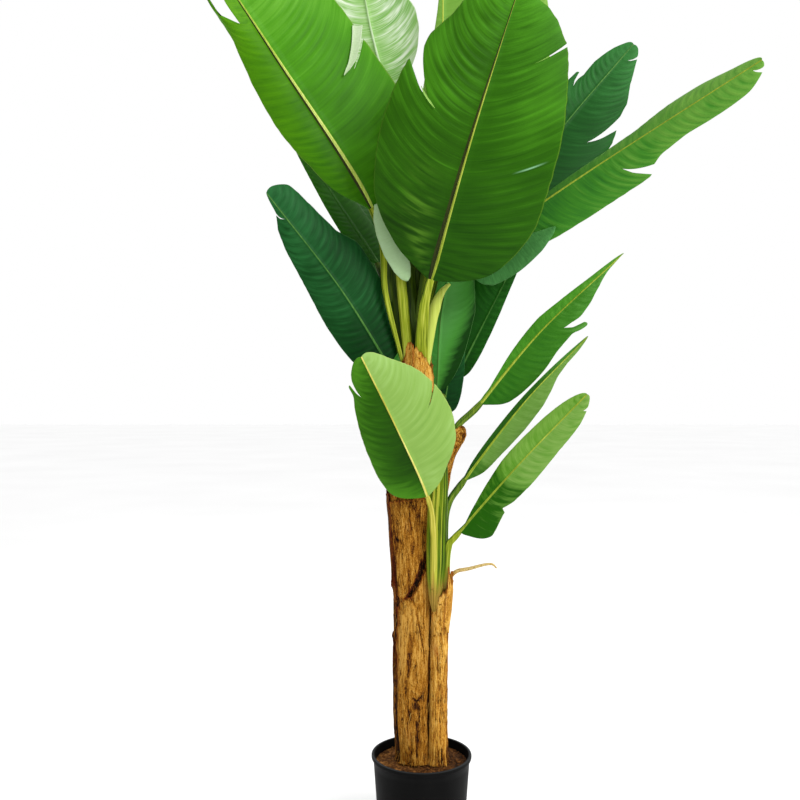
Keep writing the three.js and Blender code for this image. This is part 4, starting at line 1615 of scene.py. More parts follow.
@dataclass(frozen=True)
class Studio:
    """A pale floor, soft light and the camera, in metres.

    lens and sensor are in millimetres, aim is where the lamps look, and sky, sky_up and
    sky_right are the sky's light from the side and what is added from above and the right."""

    camera_place: Point = (-0.043, -1.781, 0.882)
    lens: float = 40.0
    sensor: float = 36.0
    aim: Point = (0.0, 0.0, 1.1)
    floor_size: float = 60.0
    floor_colours: tuple[str, str] = ("f4f4f4", "fafafa")
    sky: float = 0.45
    sky_up: float = 0.9
    sky_right: float = 0.35
    lamps: tuple[Lamp, ...] = (
        Lamp("key", (2.2, -2.4, 3.0), 1.5, 90.0),
        Lamp("back", (-0.9, 2.8, 2.6), 2.0, 30.0),
    )

    def build(self) -> None:
        """Makes the camera, the floor, the lamps and the sky."""
        scene = bpy.context.scene
        scene.view_settings.view_transform = "Standard"
        camera = bpy.data.cameras.new("camera")
        camera.lens = self.lens
        camera.sensor_width = self.sensor
        eye = bpy.data.objects.new("camera", camera)
        eye.location = self.camera_place
        eye.rotation_euler = (math.radians(90), 0, 0)
        scene.collection.objects.link(eye)
        scene.camera = eye
        half = self.floor_size / 2
        mesh = bpy.data.meshes.new("floor")
        corners = [(-half, -half, 0), (half, -half, 0), (half, half, 0), (-half, half, 0)]
        mesh.from_pydata(corners, [], [(0, 1, 2, 3)])
        floor = bpy.data.objects.new("floor", mesh)
        sheet = Sheet("floor", 0.9)
        clouds = sheet.noise(sheet.object_place(), 0.8, 2.0)
        colour = sheet.ramp(clouds, list(zip((0.2, 0.8), self.floor_colours)))
        mesh.materials.append(sheet.finish(colour))
        scene.collection.objects.link(floor)
        for lamp in self.lamps:
            lamp.build(Vector(self.aim))
        self.make_sky()

    def make_sky(self) -> None:
        """Makes the world: plain white to the eye; as a light, stronger from above and the right."""
        world = bpy.data.worlds.new("studio")
        world.use_nodes = True
        bpy.context.scene.world = world
        nodes, links = world.node_tree.nodes, world.node_tree.links
        background = nodes["Background"]
        background.inputs["Color"].default_value = (1, 1, 1, 1)
        path = nodes.new("ShaderNodeLightPath")
        way = nodes.new("ShaderNodeSeparateXYZ")
        links.new(nodes.new("ShaderNodeTexCoord").outputs["Generated"], way.inputs[0])

        def slope(way_output: str, factor: float, addend: object) -> bpy.types.NodeSocket:
            """One part of the way the light comes from, times a factor, plus an addend.

            Args:
                way_output: Which part.
                factor: The factor.
                addend: A number or a socket.

            Returns:
                The sum.
            """
            node = nodes.new("ShaderNodeMath")
            node.operation = "MULTIPLY_ADD"
            links.new(way.outputs[way_output], node.inputs[0])
            node.inputs[1].default_value = factor
            if isinstance(addend, bpy.types.NodeSocket):
                links.new(addend, node.inputs[2])
            else:
                node.inputs[2].default_value = addend
            return node.outputs[0]

        light = slope("X", self.sky_right, slope("Z", self.sky_up, self.sky))
        strength = nodes.new("ShaderNodeMapRange")
        links.new(path.outputs["Is Camera Ray"], strength.inputs["Value"])
        links.new(light, strength.inputs["To Min"])
        strength.inputs["To Max"].default_value = 1.0
        links.new(strength.outputs[0], background.inputs["Strength"])


# The plant's own finishes

YELLOW_RIB = StalkFinish("5c7214", "889a28", "b0bc4c")
PALE_RIB = StalkFinish("7c9a20", "a4b844", "ccd678")
GREEN_RIB = StalkFinish("24501a", "3c6c28", "5c8a40")
WHITE_RIB = StalkFinish("9cbc7c", "b4d09c", "d4e4c4")
CREAM_RIB = StalkFinish("8c8a28", "bcb448", "dcd678")
# Near-black green of the groove slot: painted shade in the midrib's channel and beside the midrib.
GROOVE_SHADE = StalkFinish("0b1002", "181f04", "30390b")
GREEN_STALK = StalkFinish("465c08", "8c9a1e", "c2c652", (0.50, 0.56))
OLIVE_STALK = StalkFinish("1c3008", "465c0e", "7c8c26", (0.50, 0.56))
SIDE_GREEN = StalkFinish("1c3a04", "446410", "86982c", (0.50, 0.56))
CREAM_STALK = StalkFinish("6c7010", "aca63a", "d4c862", (0.50, 0.56))
BACK_GREEN = BladeFinish("4c7438", "6c9654", "90b274", "8ea666", contrast=0.5, roughness=0.5)
BACK_DEEP = BladeFinish("265a1c", "3f7230", "5c8f4a", "7c9a50", contrast=0.5, roughness=0.5)
RISING = ((0.0, 0.2), (0.5, 0.52), (1.0, 0.85))
# PAINTED_GLOSS_BANDS and PAINTED_GLOSS_STROKES are painted highlights mixed into the base colour; SCRATCH
# is a light scratch line.
PAINTED_GLOSS_BANDS = Sheen(0.2, 0.24, 0.36, 0.3, 0.5, "5f8e28", Mark.BROAD)
SCRATCH = Sheen(0.377, 0.0045, 0.72, 0.2, 0.9, "84b88c", Mark.SOLID)
PAINTED_GLOSS_STROKES = (
    Sheen(0.5, 0.6, 0.5, 0.7, 0.5, "e4ecd8"), Sheen(0.4, 0.6, 0.6, 0.6, 0.75, "eef4e6", Mark.BROAD),
)


def leaf_finish(
    left: BladeFinish,
    right: BladeFinish | None = None,
    back: BladeFinish = BACK_DEEP,
    rib: StalkFinish = GREEN_RIB,
    stalk: StalkFinish = GREEN_STALK,
) -> LeafFinish:
    """A leaf's skins from those of its two halves, the right one the same unless it is given."""
    return LeafFinish(left, right or left, back, rib, GROOVE_SHADE, stalk)


BRIGHT = leaf_finish(
    BladeFinish("2c6004", "457e06", "66a018", "7fa03a", ((0, 0), (0.3, 0.25), (1, 0.85)), contrast=0.5),
    BladeFinish("285a05", "42840e", "66a630", "7fa03a", RISING, contrast=0.55), BACK_GREEN, PALE_RIB,
)
# Leaf finish with painted gloss highlights on its left half.
PAINTED_GLOSS_LEAF = leaf_finish(
    BladeFinish("153801", "275604", "468816", "4f7a1c", RISING, contrast=0.7, sheens=(PAINTED_GLOSS_BANDS,)),
    BladeFinish("143c01", "285a05", "428214", "587f1e", RISING, contrast=0.6, sheens=(SCRATCH,)),
    BACK_DEEP, YELLOW_RIB,
)
PALE = leaf_finish(
    BladeFinish("5f9f3c", "86bd62", "b9dba0"), None,
    BladeFinish("5c9a3c", "8cba66", "c0d8aa", "dfe8d2", contrast=0.9, sheens=PAINTED_GLOSS_STROKES), WHITE_RIB,
)
YOUNG = leaf_finish(
    BladeFinish("4f8220", "6f9b3c", "8fb45c", "a9c47a", contrast=0.5), None,
    BladeFinish("5a8a28", "759e40", "92b662", "b0c88a", contrast=0.5), PALE_RIB, OLIVE_STALK,
)
BLUE_GREEN = leaf_finish(
    BladeFinish("05260a", "0d3c14", "225e2c", "3c7232", RISING, contrast=0.6),
    BladeFinish("062a0c", "0f4018", "246230", "3c7232", RISING, contrast=0.6),
)
BACK_SHADE = leaf_finish(
    BladeFinish("1a480a", "2f6616", "4c8628", "5c8a38", contrast=0.5), stalk=OLIVE_STALK,
)
SHADE = leaf_finish(BladeFinish("072c04", "124808", "2a681e", "3c7028", contrast=0.5), stalk=OLIVE_STALK)
FOREST = leaf_finish(BladeFinish("0c3410", "184c18", "2f6e30", "4c8238", RISING, contrast=0.6))
LONG = leaf_finish(
    BladeFinish("205a1a", "407824", "649438", "6c9440", RISING, contrast=0.7),
    BladeFinish("185420", "3a7a22", "649638", "6c9440", RISING, contrast=0.7), BACK_DEEP, YELLOW_RIB,
)
MEADOW = leaf_finish(BladeFinish("164e10", "2c6c1e", "4e8a34", "64883a", contrast=0.7))
# Its right half darkens towards the edge and the collar: a painted shadow band.
SOFT_SHADOWED = leaf_finish(
    BladeFinish("123f0a", "3a7c2e", "529646", "5c9048", contrast=0.3),
    BladeFinish(
        "0a3403", "40842f", "529646", "6ca05a", ((0, 0), (0.25, 0.2), (0.5, 0.72), (1, 0.7)), -1.1,
        contrast=0.3,
    ),
)
LOW_FRONT_TONES = ((0.0, 0.95), (0.1, 0.7), (0.22, 0.3), (0.5, 0.45), (1.0, 0.85))
# Leaf in front of the stem: the dark left half is painted shade and the pale right half is painted light.
LIT_AND_SHADED_HALVES = leaf_finish(
    BladeFinish("143602", "245204", "427c16", "86a04a", LOW_FRONT_TONES, 0.6, contrast=0.5),
    BladeFinish("648f38", "7fa34c", "96ba6a", "a9bc66", ((0, 0.4), (1, 0.6)), contrast=0.5), BACK_GREEN,
    CREAM_RIB, CREAM_STALK,
)
SPRING = leaf_finish(
    BladeFinish("265f0e", "42821e", "64983a", "7aa048", contrast=0.6),
    BladeFinish("1c560e", "326c16", "56903a", "7aa048", RISING, contrast=0.6), BACK_DEEP, YELLOW_RIB,
    SIDE_GREEN,
)
SPLIT_TONES = ((0.0, 0.0), (0.12, 0.1), (0.16, 0.6), (1.0, 0.6))
SPLIT = leaf_finish(
    BladeFinish(
        "143c08", "245410", "3f7426", "5c843a", ((0, 0.1), (0.6, 0.4), (0.8, 0.9), (1, 1)), contrast=0.6,
    ),
    BladeFinish("346418", "5a8432", "749a4c", "8aa86a", SPLIT_TONES, contrast=0.6), BACK_DEEP, YELLOW_RIB,
    SIDE_GREEN,
)
LOW_TONES = ((0.0, 0.0), (0.36, 0.1), (0.41, 0.6), (1.0, 0.75))
LOW = leaf_finish(
    BladeFinish("1f5404", "4f8220", "729c40", "8aa656", LOW_TONES, contrast=0.7),
    BladeFinish("1c5002", "5c8a32", "7c9e4e", "8aa656", LOW_TONES, contrast=0.7), BACK_DEEP, YELLOW_RIB,
)

# Span of the back leaves' midrib that is painted dark as shade in its channel.
BACK_GROOVE_SHADE = (-0.55, 0.55)


def pair(*sizes: float, **slopes: float) -> tuple[Half, Half]:
    """Two halves of the same sizes."""
    return (Half(*sizes, **slopes),) * 2


LEAVES = (
    Leaf(
        "leaf_front",
        ((-2, -14, 950), (2, -42, 1045), (16, -62, 1116), (85, -155, 1358), (182, -175, 1658)),
        (0.96, 0.05, -0.25),
        Half(
            186, 0.55, 0.62, lift=8, curl=-12,
            trim=(
                (0, 0.62), (0.05, 0.62), (0.1, 0.75), (0.15, 0.92), (0.2, 1), (0.3, 1.03), (0.4, 1),
                (0.51, 0.97), (0.53, 0.88), (0.6, 0.9), (0.7, 0.79), (0.8, 0.75), (1, 0.7),
            ),
        ),
        Half(
            173, 0.4, 0.57, lift=8, curl=-8, bend=0.4,
            trim=(
                (0, 1), (0.1, 1), (0.2, 1.1), (0.3, 1.08), (0.6, 1.06), (0.7, 1.02), (0.75, 0.95),
                (0.8, 0.88), (0.85, 0.76), (0.9, 0.52), (1, 0.45),
            ),
        ),
        (15, 8), PAINTED_GLOSS_LEAF,
        (Tear(Side.LEFT, 0.515, 0.48, 0.004, 0.05, 1.3), Tear(Side.RIGHT, 0.7, 0.58, 0.003, 0.01)),
        groove=(-0.95, 0.3), fold=0.9, seed=11, rib=1, stalk_shade=(-0.9, -0.68),
    ),
    Leaf(
        "leaf_upper_left",
        ((-38, -13, 955), (-71, -26, 1091), (-99, -38, 1258), (-290, -80, 1552), (-461, -150, 1799)),
        (0.8, 0.35, 0.5),
        Half(
            84, 0.45, 0.95, lift=10, curl=-20,
            trim=(
                (0, 0.5), (0.06, 0.8), (0.15, 1), (0.3, 0.94), (0.42, 0.87), (0.45, 0.84), (0.5, 0.92),
                (0.545, 1.084), (0.57, 1.43), (0.59, 1.69), (0.65, 1.72), (0.75, 1.3), (0.85, 1.05),
                (1, 1),
            ),
            sweep=(
                (0, 0), (0.15, 30), (0.3, 16), (0.42, 20), (0.45, 26), (0.5, 45), (0.545, 53), (0.57, 64),
                (0.59, 71), (0.65, 78), (0.85, 40), (1, 40),
            ),
        ),
        Half(
            200, 0.25, 0.5, lift=10, curl=-10,
            sweep=((0, -14), (0.15, 10), (0.3, 24), (0.6, 30), (1, 30)),
        ),
        (4, 7.5), BRIGHT,
        (Tear(Side.RIGHT, 0.305, 0.36, 0.004, 0.03), Tear(Side.LEFT, 0.59, 0.77, 0.003, 0.25, 0.2)),
        groove=(-1, -0.45), fold=0.7, seed=12, rib=1,
    ),
    Leaf(
        "leaf_left",
        ((-35, -8, 874), (-47, -12, 914), (-67, -12, 952), (-161, -34, 1102), (-302, -60, 1283)),
        (0.78, 0.3, 0.55),
        Half(
            53, 0.2, 0.75, lift=0, curl=-10,
            trim=(
                (0, 1), (0.1, 1.1), (0.2, 1.24), (0.3, 1.37), (0.5, 1.45), (0.7, 1.6), (0.8, 1.5),
                (0.9, 1), (1, 1),
            ),
            sweep=((0, -14), (0.12, 8), (0.3, 24), (0.6, 38), (0.8, 45), (0.88, 62), (1, 50)),
        ),
        Half(
            108, 0.5, 0.54, lift=8, curl=-10,
            trim=(
                (0, 0.9), (0.1, 0.88), (0.2, 0.84), (0.3, 0.86), (0.5, 0.96), (0.6, 0.8), (0.7, 0.8),
                (0.8, 0.85), (0.9, 0.98), (1, 0.8),
            ),
        ),
        (8, 6), BLUE_GREEN, (Tear(Side.LEFT, 0.87, 0.85, 0.004, 0.02),), fold=0.5, seed=13,
    ),
    Leaf(
        "leaf_left_back",
        ((-27, 12, 975), (-68, 30, 1098), (-90, 46, 1164), (-176, 98, 1302), (-294, 150, 1490)),
        (0.6, 0.6, 0.5), Half(40, 0.4, 0.7, lift=8, curl=-12), Half(55, 0.4, 0.7, lift=8, curl=-12),
        (12, 8), BACK_SHADE, seed=14,
    ),
    Leaf(
        "leaf_right_long",
        ((5, 2, 1000), (18, 8, 1150), (110, 18, 1192), (348, -42, 1343), (613, -170, 1498)),
        (0.4, -0.4, -0.8),
        Half(
            32, 0.5, 0.5, start=0.2, lift=-10, curl=-10,
            trim=(
                (0, 1), (0.5, 1), (0.6, 1.15), (0.7, 1.7), (0.8, 1.8), (0.9, 1.55), (0.97, 1.6), (1, 1.6),
            ),
        ),
        Half(
            93, 0.45, 0.65, lift=5, curl=-10,
            trim=(
                (0, 0.94), (0.1, 0.92), (0.2, 0.96), (0.4, 1), (0.53, 1.06), (0.55, 0.9), (0.6, 0.76),
                (0.7, 0.72), (0.8, 0.9), (0.9, 1.13), (1, 1.1),
            ),
        ),
        (9, 7), LONG,
        (Tear(Side.RIGHT, 0.535, 0.6, 0.004, 0.03, 1), Tear(Side.RIGHT, 0.965, 0.7, 0.003, 0.02)),
        fold=0.6, seed=15,
    ),
    Leaf(
        "leaf_right_dark",
        ((4, 20, 996), (18, 22, 1148), (140, 58, 1184), (272, 110, 1420), (464, 150, 1655)),
        (0.75, -0.1, -0.65),
        Half(
            69, 0.4, 0.5, lift=8, curl=-8,
            trim=(
                (0, 1), (0.5, 1), (0.6, 1.2), (0.695, 1.4), (0.71, 1), (0.8, 1.05), (0.9, 0.98),
                (0.96, 0.85), (1, 0.8),
            ),
            sweep=((0, -14), (0.3, 24), (0.6, 44), (0.7, 52), (0.8, 44), (1, 38)),
        ),
        Half(
            79, 0.35, 0.5, lift=8, curl=-8,
            trim=(
                (0, 1), (0.3, 1.4), (0.4, 1.75), (0.5, 1.8), (0.55, 1.75), (0.6, 1.6), (0.7, 1.5),
                (0.8, 1.2), (0.9, 1), (1, 0.9),
            ),
            sweep=((0, -14), (0.3, 24), (0.57, 45), (1, 40)),
        ),
        (8, 7), FOREST,
        (
            Tear(Side.LEFT, 0.7, 0.42, 0.004, 0.02), Tear(Side.RIGHT, 0.553, 0.5, 0.004, 0.07, 1.1),
            Tear(Side.RIGHT, 0.93, 0.7, 0.004, 0.012),
        ),
        seed=16,
    ),
    Leaf(
        "leaf_top_left",
        ((-22, -8, 935), (-43, -16, 1150), (-58, 66, 1453), (-110, 90, 1692), (-160, 105, 1994)),
        (-0.97, 0, -0.2),
        Half(
            101, 0.4, 0.6, lift=5, curl=-12,
            trim=(
                (0, 0.6), (0.1, 0.35), (0.15, 0.5), (0.23, 0.92), (0.3, 1.1), (0.37, 1.12), (0.48, 0.92),
                (0.6, 0.96), (1, 1),
            ),
        ),
        Half(95, 0.4, 0.6, lift=5, curl=-12), (11, 8), PALE, fold=0.8, seed=17,
    ),
    Leaf(
        "leaf_top", ((-12, -6, 984), (14, -12, 1203), (30, -8, 1424), (44, 20, 1654), (40, 60, 1938)),
        (0.99, 0, 0), Half(34, 0.4, 2.4, lift=5, curl=-12), Half(120, 0.4, 0.7, lift=5, curl=-12),
        (10, 8), YOUNG, seed=18,
    ),
    Leaf(
        "leaf_top_right",
        ((-3, 14, 987), (39, 35, 1168), (119, 65, 1360), (177, 85, 1638), (202, 110, 1914)),
        (0.98, 0, -0.1), Half(90, 0.4, 0.7, lift=6, curl=-12), Half(112, 0.4, 0.7, lift=6, curl=-12),
        (9, 7), YOUNG, seed=19,
    ),
    Leaf(
        "leaf_lower_right",
        ((8, 26, 868), (38, 62, 884), (73, 94, 926), (146, 100, 1068), (238, 105, 1250)),
        (0.85, 0.1, -0.5), Half(80, 0.4, 0.7), Half(27, 0.4, 0.7), (7, 6), SHADE, seed=20,
    ),
    Leaf(
        "leaf_lower_mid", ((2, 26, 918), (18, 42, 905), (32, 56, 900), (42, 64, 1058), (72, 70, 1220)),
        (0.98, 0.1, 0), Half(28, 0.45, 0.6),
        Half(82, 0.4, 0.6, trim=((0, 0.5), (0.1, 0.5), (0.2, 0.7), (0.3, 0.87), (0.42, 1.02), (1, 1))),
        (7, 6), SOFT_SHADOWED, fold=0.3, seed=21, rib=0.2,
    ),
    Leaf(
        "leaf_lower_small", ((-4, 30, 842), (22, 54, 842), (44, 70, 856), (60, 74, 934), (78, 76, 1030)),
        (0.98, 0.1, 0), Half(36, 0.4, 0.6), Half(36, 0.4, 0.6), (6, 5), BLUE_GREEN, fold=0.3, seed=22,
    ),
    Leaf(
        "leaf_low_front",
        ((23, -48, 512), (21, -60, 625), (9, -76, 698), (-48, -135, 827), (-113, -172, 960)),
        (0.9, 0, 0.44),
        Half(
            78, 0.3, 0.62, lift=4, curl=-12,
            trim=((0, 1), (0.66, 1), (0.705, 1.2), (0.725, 1), (1, 0.95)),
            sweep=((0, -14), (0.12, 8), (0.3, 24), (0.6, 38), (0.72, 50), (0.85, 40), (1, 38)),
        ),
        Half(
            112, 0.55, 0.6, lift=4, curl=-12,
            trim=(
                (0, 0.8), (0.05, 0.75), (0.1, 0.75), (0.15, 0.95), (0.2, 1.1), (0.3, 1.15), (0.4, 1.08),
                (0.5, 1), (0.6, 0.91), (0.7, 0.79), (0.8, 0.68), (0.9, 0.62), (1, 0.6),
            ),
        ),
        (6, 5), LIT_AND_SHADED_HALVES,
        (Tear(Side.RIGHT, 0.455, 0.45, 0.003, 0.014), Tear(Side.LEFT, 0.715, 0.42, 0.004, 0.03)),
        fold=0.4, flutter=2, seed=23,
    ),
    Leaf(
        "leaf_side_upper",
        ((38, -20, 684), (62, -5, 812), (120, 8, 876), (244, 15, 1023), (413, 30, 1181)),
        (0.7, -0.2, -0.68),
        Half(
            37, 0.5, 0.6,
            trim=(
                (0, 0.5), (0.1, 0.25), (0.2, 0.38), (0.3, 0.55), (0.5, 0.76), (0.7, 0.62), (0.8, 0.55),
                (1, 0.5),
            ),
        ),
        Half(
            50, 0.5, 1.15,
            trim=(
                (0, 1), (0.1, 1.1), (0.2, 1.17), (0.3, 1.26), (0.4, 1.25), (0.5, 1.45), (0.535, 2.15),
                (0.56, 1.25), (0.7, 1.25), (0.8, 1), (0.9, 0.5), (1, 0.4),
            ),
            sweep=((0, -14), (0.12, 8), (0.3, 24), (0.5, 40), (0.54, 48), (0.62, 40), (1, 38)),
        ),
        (6, 7), SPRING, (Tear(Side.RIGHT, 0.55, 0.55, 0.004, 0.05),), fold=0.4, flutter=2, seed=24,
    ),
    Leaf(
        "leaf_side_mid",
        ((46, -20, 585), (51, -18, 668), (86, -16, 725), (204, -18, 878), (328, -25, 1008)),
        (0.7, 0.3, -0.65), Half(14, 0.4, 0.6, lift=20),
        Half(
            34, 0.5, 0.75, lift=20,
            trim=(
                (0, 1), (0.2, 1), (0.35, 1.2), (0.5, 1.2), (0.6, 1), (0.7, 0.65), (0.8, 0.5), (0.9, 0.6),
                (1, 0.6),
            ),
        ),
        (6, 7), SPLIT, fold=0.3, flutter=2, seed=25,
    ),
    Leaf(
        "leaf_side_low",
        ((47, -34, 508), (51, -40, 590), (74, -44, 625), (190, -60, 760), (315, -80, 893)),
        (0.7, -0.1, -0.7),
        Half(
            37, 0.8, 0.65, start=0.06,
            trim=((0, 1), (0.1, 0.6), (0.2, 0.7), (0.3, 0.87), (0.4, 1), (1, 1)),
        ),
        Half(
            50, 0.28, 0.5,
            trim=(
                (0, 1), (0.05, 1.25), (0.1, 1.3), (0.15, 1.12), (0.2, 0.96), (0.25, 0.86), (0.4, 1),
                (0.6, 1.05), (0.8, 1.12), (0.9, 1.02), (1, 0.85),
            ),
        ),
        (8, 6), LOW, (Tear(Side.RIGHT, 0.25, 0.2, 0.02, 0.05), Tear(Side.RIGHT, 0.9, 0.25, 0.01, 0.02)),
        fold=0.4, flutter=2, seed=26,
    ),
    Leaf(
        "leaf_back_left",
        ((-25, 24, 985), (-42, 60, 1060), (-55, 95, 1130), (-110, 260, 1340), (-170, 440, 1400)),
        (-0.92, -0.3, 0), *pair(78, 0.4, 0.7, lift=10, curl=-16), (9, 7), MEADOW,
        (Tear(Side.RIGHT, 0.6, 0.4, 0.004, 0.05),), groove=BACK_GROOVE_SHADE, fold=0.6, flutter=4, seed=27,
    ),
    Leaf(
        "leaf_back_mid",
        ((-8, 27, 990), (-14, 60, 1075), (-10, 110, 1165), (25, 300, 1410), (60, 490, 1545)), (-1, 0, 0),
        *pair(86, 0.4, 0.7, lift=10, curl=-16), (9, 7), BRIGHT, (Tear(Side.LEFT, 0.7, 0.4, 0.004, 0.05),),
        groove=BACK_GROOVE_SHADE, fold=0.6, flutter=4, seed=28,
    ),
    Leaf(
        "leaf_back_right",
        ((12, 26, 985), (14, 66, 1058), (50, 118, 1125), (165, 250, 1292), (300, 405, 1330)),
        (-0.8, 0.55, 0), *pair(76, 0.4, 0.7, lift=10, curl=-16), (9, 7), FOREST,
        (Tear(Side.LEFT, 0.5, 0.4, 0.004, 0.05),), groove=BACK_GROOVE_SHADE, fold=0.6, flutter=4, seed=29,
    ),
    Leaf(
        "leaf_back_low",
        ((-8, 28, 955), (-12, 62, 1010), (-16, 100, 1045), (-30, 265, 1080), (-40, 400, 940)), (-1, 0, 0),
        *pair(68, 0.4, 0.7, lift=10, curl=-14), (8, 6), MEADOW,
        (Tear(Side.RIGHT, 0.7, 0.4, 0.004, 0.05),), groove=BACK_GROOVE_SHADE, fold=0.6, flutter=4, seed=30,
    ),
    Leaf(
        "leaf_back_high", ((3, 26, 998), (8, 58, 1110), (14, 94, 1225), (55, 190, 1500), (90, 300, 1750)),
        (-1, 0, 0), Half(88, 0.4, 0.7, lift=8, curl=-14),
        Half(88, 0.4, 0.7, lift=8, curl=-14, trim=((0, 1), (0.25, 0.9), (0.45, 0.6), (0.8, 0.6), (1, 1))),
        (9, 7), PAINTED_GLOSS_LEAF, (Tear(Side.RIGHT, 0.8, 0.4, 0.004, 0.05),), groove=BACK_GROOVE_SHADE, fold=0.6,
        flutter=4, seed=31,
    ),
)

STEM_FOOT = 164.3
# Sunk, darkened lines on the main stem: painted shade in its clefts. The first is the shadow under the
# upper sheath's lower edge; the second is the dark strip on the shaded left side.
MAIN_CLEFTS = (
    Cleft(((0.125, 576), (0.09, 558), (0.045, 532), (0, 508), (-0.06, 492)), (9, 3), 4, 0.75),
    Cleft(((-0.15, 560), (-0.14, 500), (-0.13, 440)), (3, 6), 2.5, 0.5),
    Cleft(((0.02, 468), (0.045, 440), (0.06, 420), (0.09, 384)), (1.6, 1.2), 1.5, 0.6),
    Cleft(((0, 296), (0.03, 290), (0.075, 300)), (2.5, 1.5), 2, 0.6),
    Cleft(((0.01, 282), (0.05, 276)), (8, 5), 0.6, 0.35),
    Cleft(((-0.02, 420), (-0.03, 370), (-0.04, 340)), (7, 4), 0.6, 0.25),
    Cleft(((-0.16, 478), (-0.17, 380), (-0.16, 240), (-0.15, 170)), (3, 4), 2, 0.4),
    Cleft(((0.16, 560), (0.155, 420), (0.15, 300), (0.15, 170)), (3, 3), 2, 0.5),
    Cleft(((0.03, 250), (0.035, 215), (0.02, 180)), (3, 2), 1, 0.4),
)
MAIN_STEM = BarkStem(
    (
        (STEM_FOOT, -14, 0, 37), (190, -15, 0, 36.5), (260, -17, 0, 38), (420, -17, 0, 38),
        (500, -17, 0, 38.5), (560, -19, 0, 40), (640, -22, 0, 42), (690, -24, 0, 43), (780, -20, 0, 38),
        (850, -14, 0, 32), (905, -8, 0, 27),
    ),
    seed=41, rows=430, columns=200, left_painted_shade=0.38, right_dark_edge_and_shade=0.12, clefts=MAIN_CLEFTS,
)
SIDE_STEM = BarkStem(
    (
        (STEM_FOOT, 33, -20, 21), (190, 33, -20, 18.5), (300, 33, -20, 17), (420, 34, -20, 17),
        (490, 38, -20, 15.5), (508, 40, -20, 11.5),
    ),
    seed=51, rows=330, columns=140, folds=6, right_dark_edge_and_shade=0.28,
)
SIDE_STALK = StalkStem(
    (
        (468, 24, -40, 4), (500, 26, -38, 13), (560, 28, -36, 19), (640, 30, -32, 20), (720, 34, -26, 18),
        (775, 38, -20, 12),
    ),
    seed=53, rows=180, columns=120,
    bands=(
        (-0.42, 0), (-0.13, 0.08), (-0.05, 0.36), (0.02, 0.42), (0.055, 0.05), (0.095, 0.28),
        (0.16, -0.05), (0.25, -0.15), (0.42, 0),
    ),
)
CROWN_CORE = StalkStem(
    ((905.3, -8, 0, 26.5), (950, -7, 0, 23.5), (1000, -5, 0, 17.5), (1040, -4, 0, 10.5)), seed=55,
    rows=90, columns=110,
    bands=((-0.4, -0.2), (-0.22, -0.2), (-0.1, -0.1), (0.04, 0.2), (0.16, -0.2), (0.4, 0)),
)
CAP_FORM = BarkStem(
    ((896, -11, -1, 30.5), (932, -11, -1, 30.5), (960, -11, -1, 28.5), (1000, -11, -1, 24)), seed=57,
    rows=60, columns=80, folds=9,
)
SHEATHS = (
    Sheath(
        MAIN_STEM, ((-0.17, 678), (-0.1, 684), (0, 688), (0.1, 690), (0.18, 690)),
        (
            (-0.17, 528), (-0.155, 512), (-0.109, 494), (-0.072, 489), (-0.039, 498), (0, 517),
            (0.031, 535), (0.047, 549), (0.055, 566), (0.1, 571), (0.13, 577), (0.18, 582),
        ),
        off=3.4, seed=1, brightness=0,
    ),
    Sheath(
        MAIN_STEM,
        (
            (-0.14, 474), (-0.13, 477), (-0.065, 491), (0.016, 505), (0.067, 532), (0.1, 550),
            (0.13, 560), (0.2, 566),
        ),
        ((-0.14, 330), (0.05, 300), (0.2, 330)), off=2.6, seed=2, sink=True, brightness=0.15,
    ),
    Sheath(
        MAIN_STEM, ((0.2, 640), (0.35, 655), (0.5, 600)), ((0.2, 470), (0.35, 440), (0.5, 455)), seed=3,
    ),
    Sheath(
        MAIN_STEM, ((0.48, 700), (0.66, 720), (0.84, 690)), ((0.48, 520), (0.62, 480), (0.84, 540)),
        seed=4,
    ),
    Sheath(
        MAIN_STEM, ((0.3, 860), (0.5, 870), (0.72, 850)), ((0.3, 700), (0.5, 660), (0.72, 690)), seed=5,
    ),
    Sheath(
        MAIN_STEM, ((0.3, 400), (0.5, 430), (0.8, 410)), ((0.3, 280), (0.5, 240), (0.8, 290)), off=1.8,
        seed=6, sink=True,
    ),
)
CAP_SHEATHS = (
    Sheath(
        CAP_FORM, ((-0.16, 955), (-0.1, 992), (-0.06, 994), (-0.01, 975), (0.04, 962)),
        ((-0.16, 900), (-0.1, 898), (0.04, 900)), off=2.5, fray=4, seed=7,
    ),
    Sheath(
        CAP_FORM, ((-0.04, 990), (0.042, 978), (0.11, 962), (0.18, 938), (0.26, 925)),
        ((-0.04, 905), (0.1, 900), (0.26, 898)), off=3.6, fray=4, seed=8,
    ),
    Sheath(
        CAP_FORM, ((0.24, 950), (0.4, 962), (0.6, 958), (0.82, 948), (0.87, 955)),
        ((0.24, 898), (0.5, 896), (0.87, 898)), off=2.5, fray=5, seed=9,
    ),
)
BARK = BarkFinish()
GOLD_BARK = BarkFinish("1c0c03", "6a380c", "a87024", "c89236", "d8ac58", "7a2410")
STRAW = BarkFinish("2c180a", "74501c", "a88038", "c4a45c", "d8c084", "7c3e18")

TWIGS = (
    YoungShoot(
        "young_shoot",
        (
            (8, -12, 950), (15, -14, 1000), (22, -15, 1045), (32, -14, 1080), (43, -13, 1100),
            (56, -12, 1113),
        ),
        (8, 11, 3), StalkFinish("54700c", "8ea020", "b8c458"),
    ),
    CutStub(
        "cut_stub", ((43, -14, 694), (50, -14, 735), (57, -14, 765), (66, -14, 790), (75, -16, 811)),
        (8, 8, 12.5), BARK, slant=20,
    ),
    DryTail(
        "dry_tail", ((42, -22, 500), (62, -21, 538), (96, -22, 549), (135, -24, 558), (148, -24, 550)),
        (7, 5, 2.2), STRAW,
    ),
)


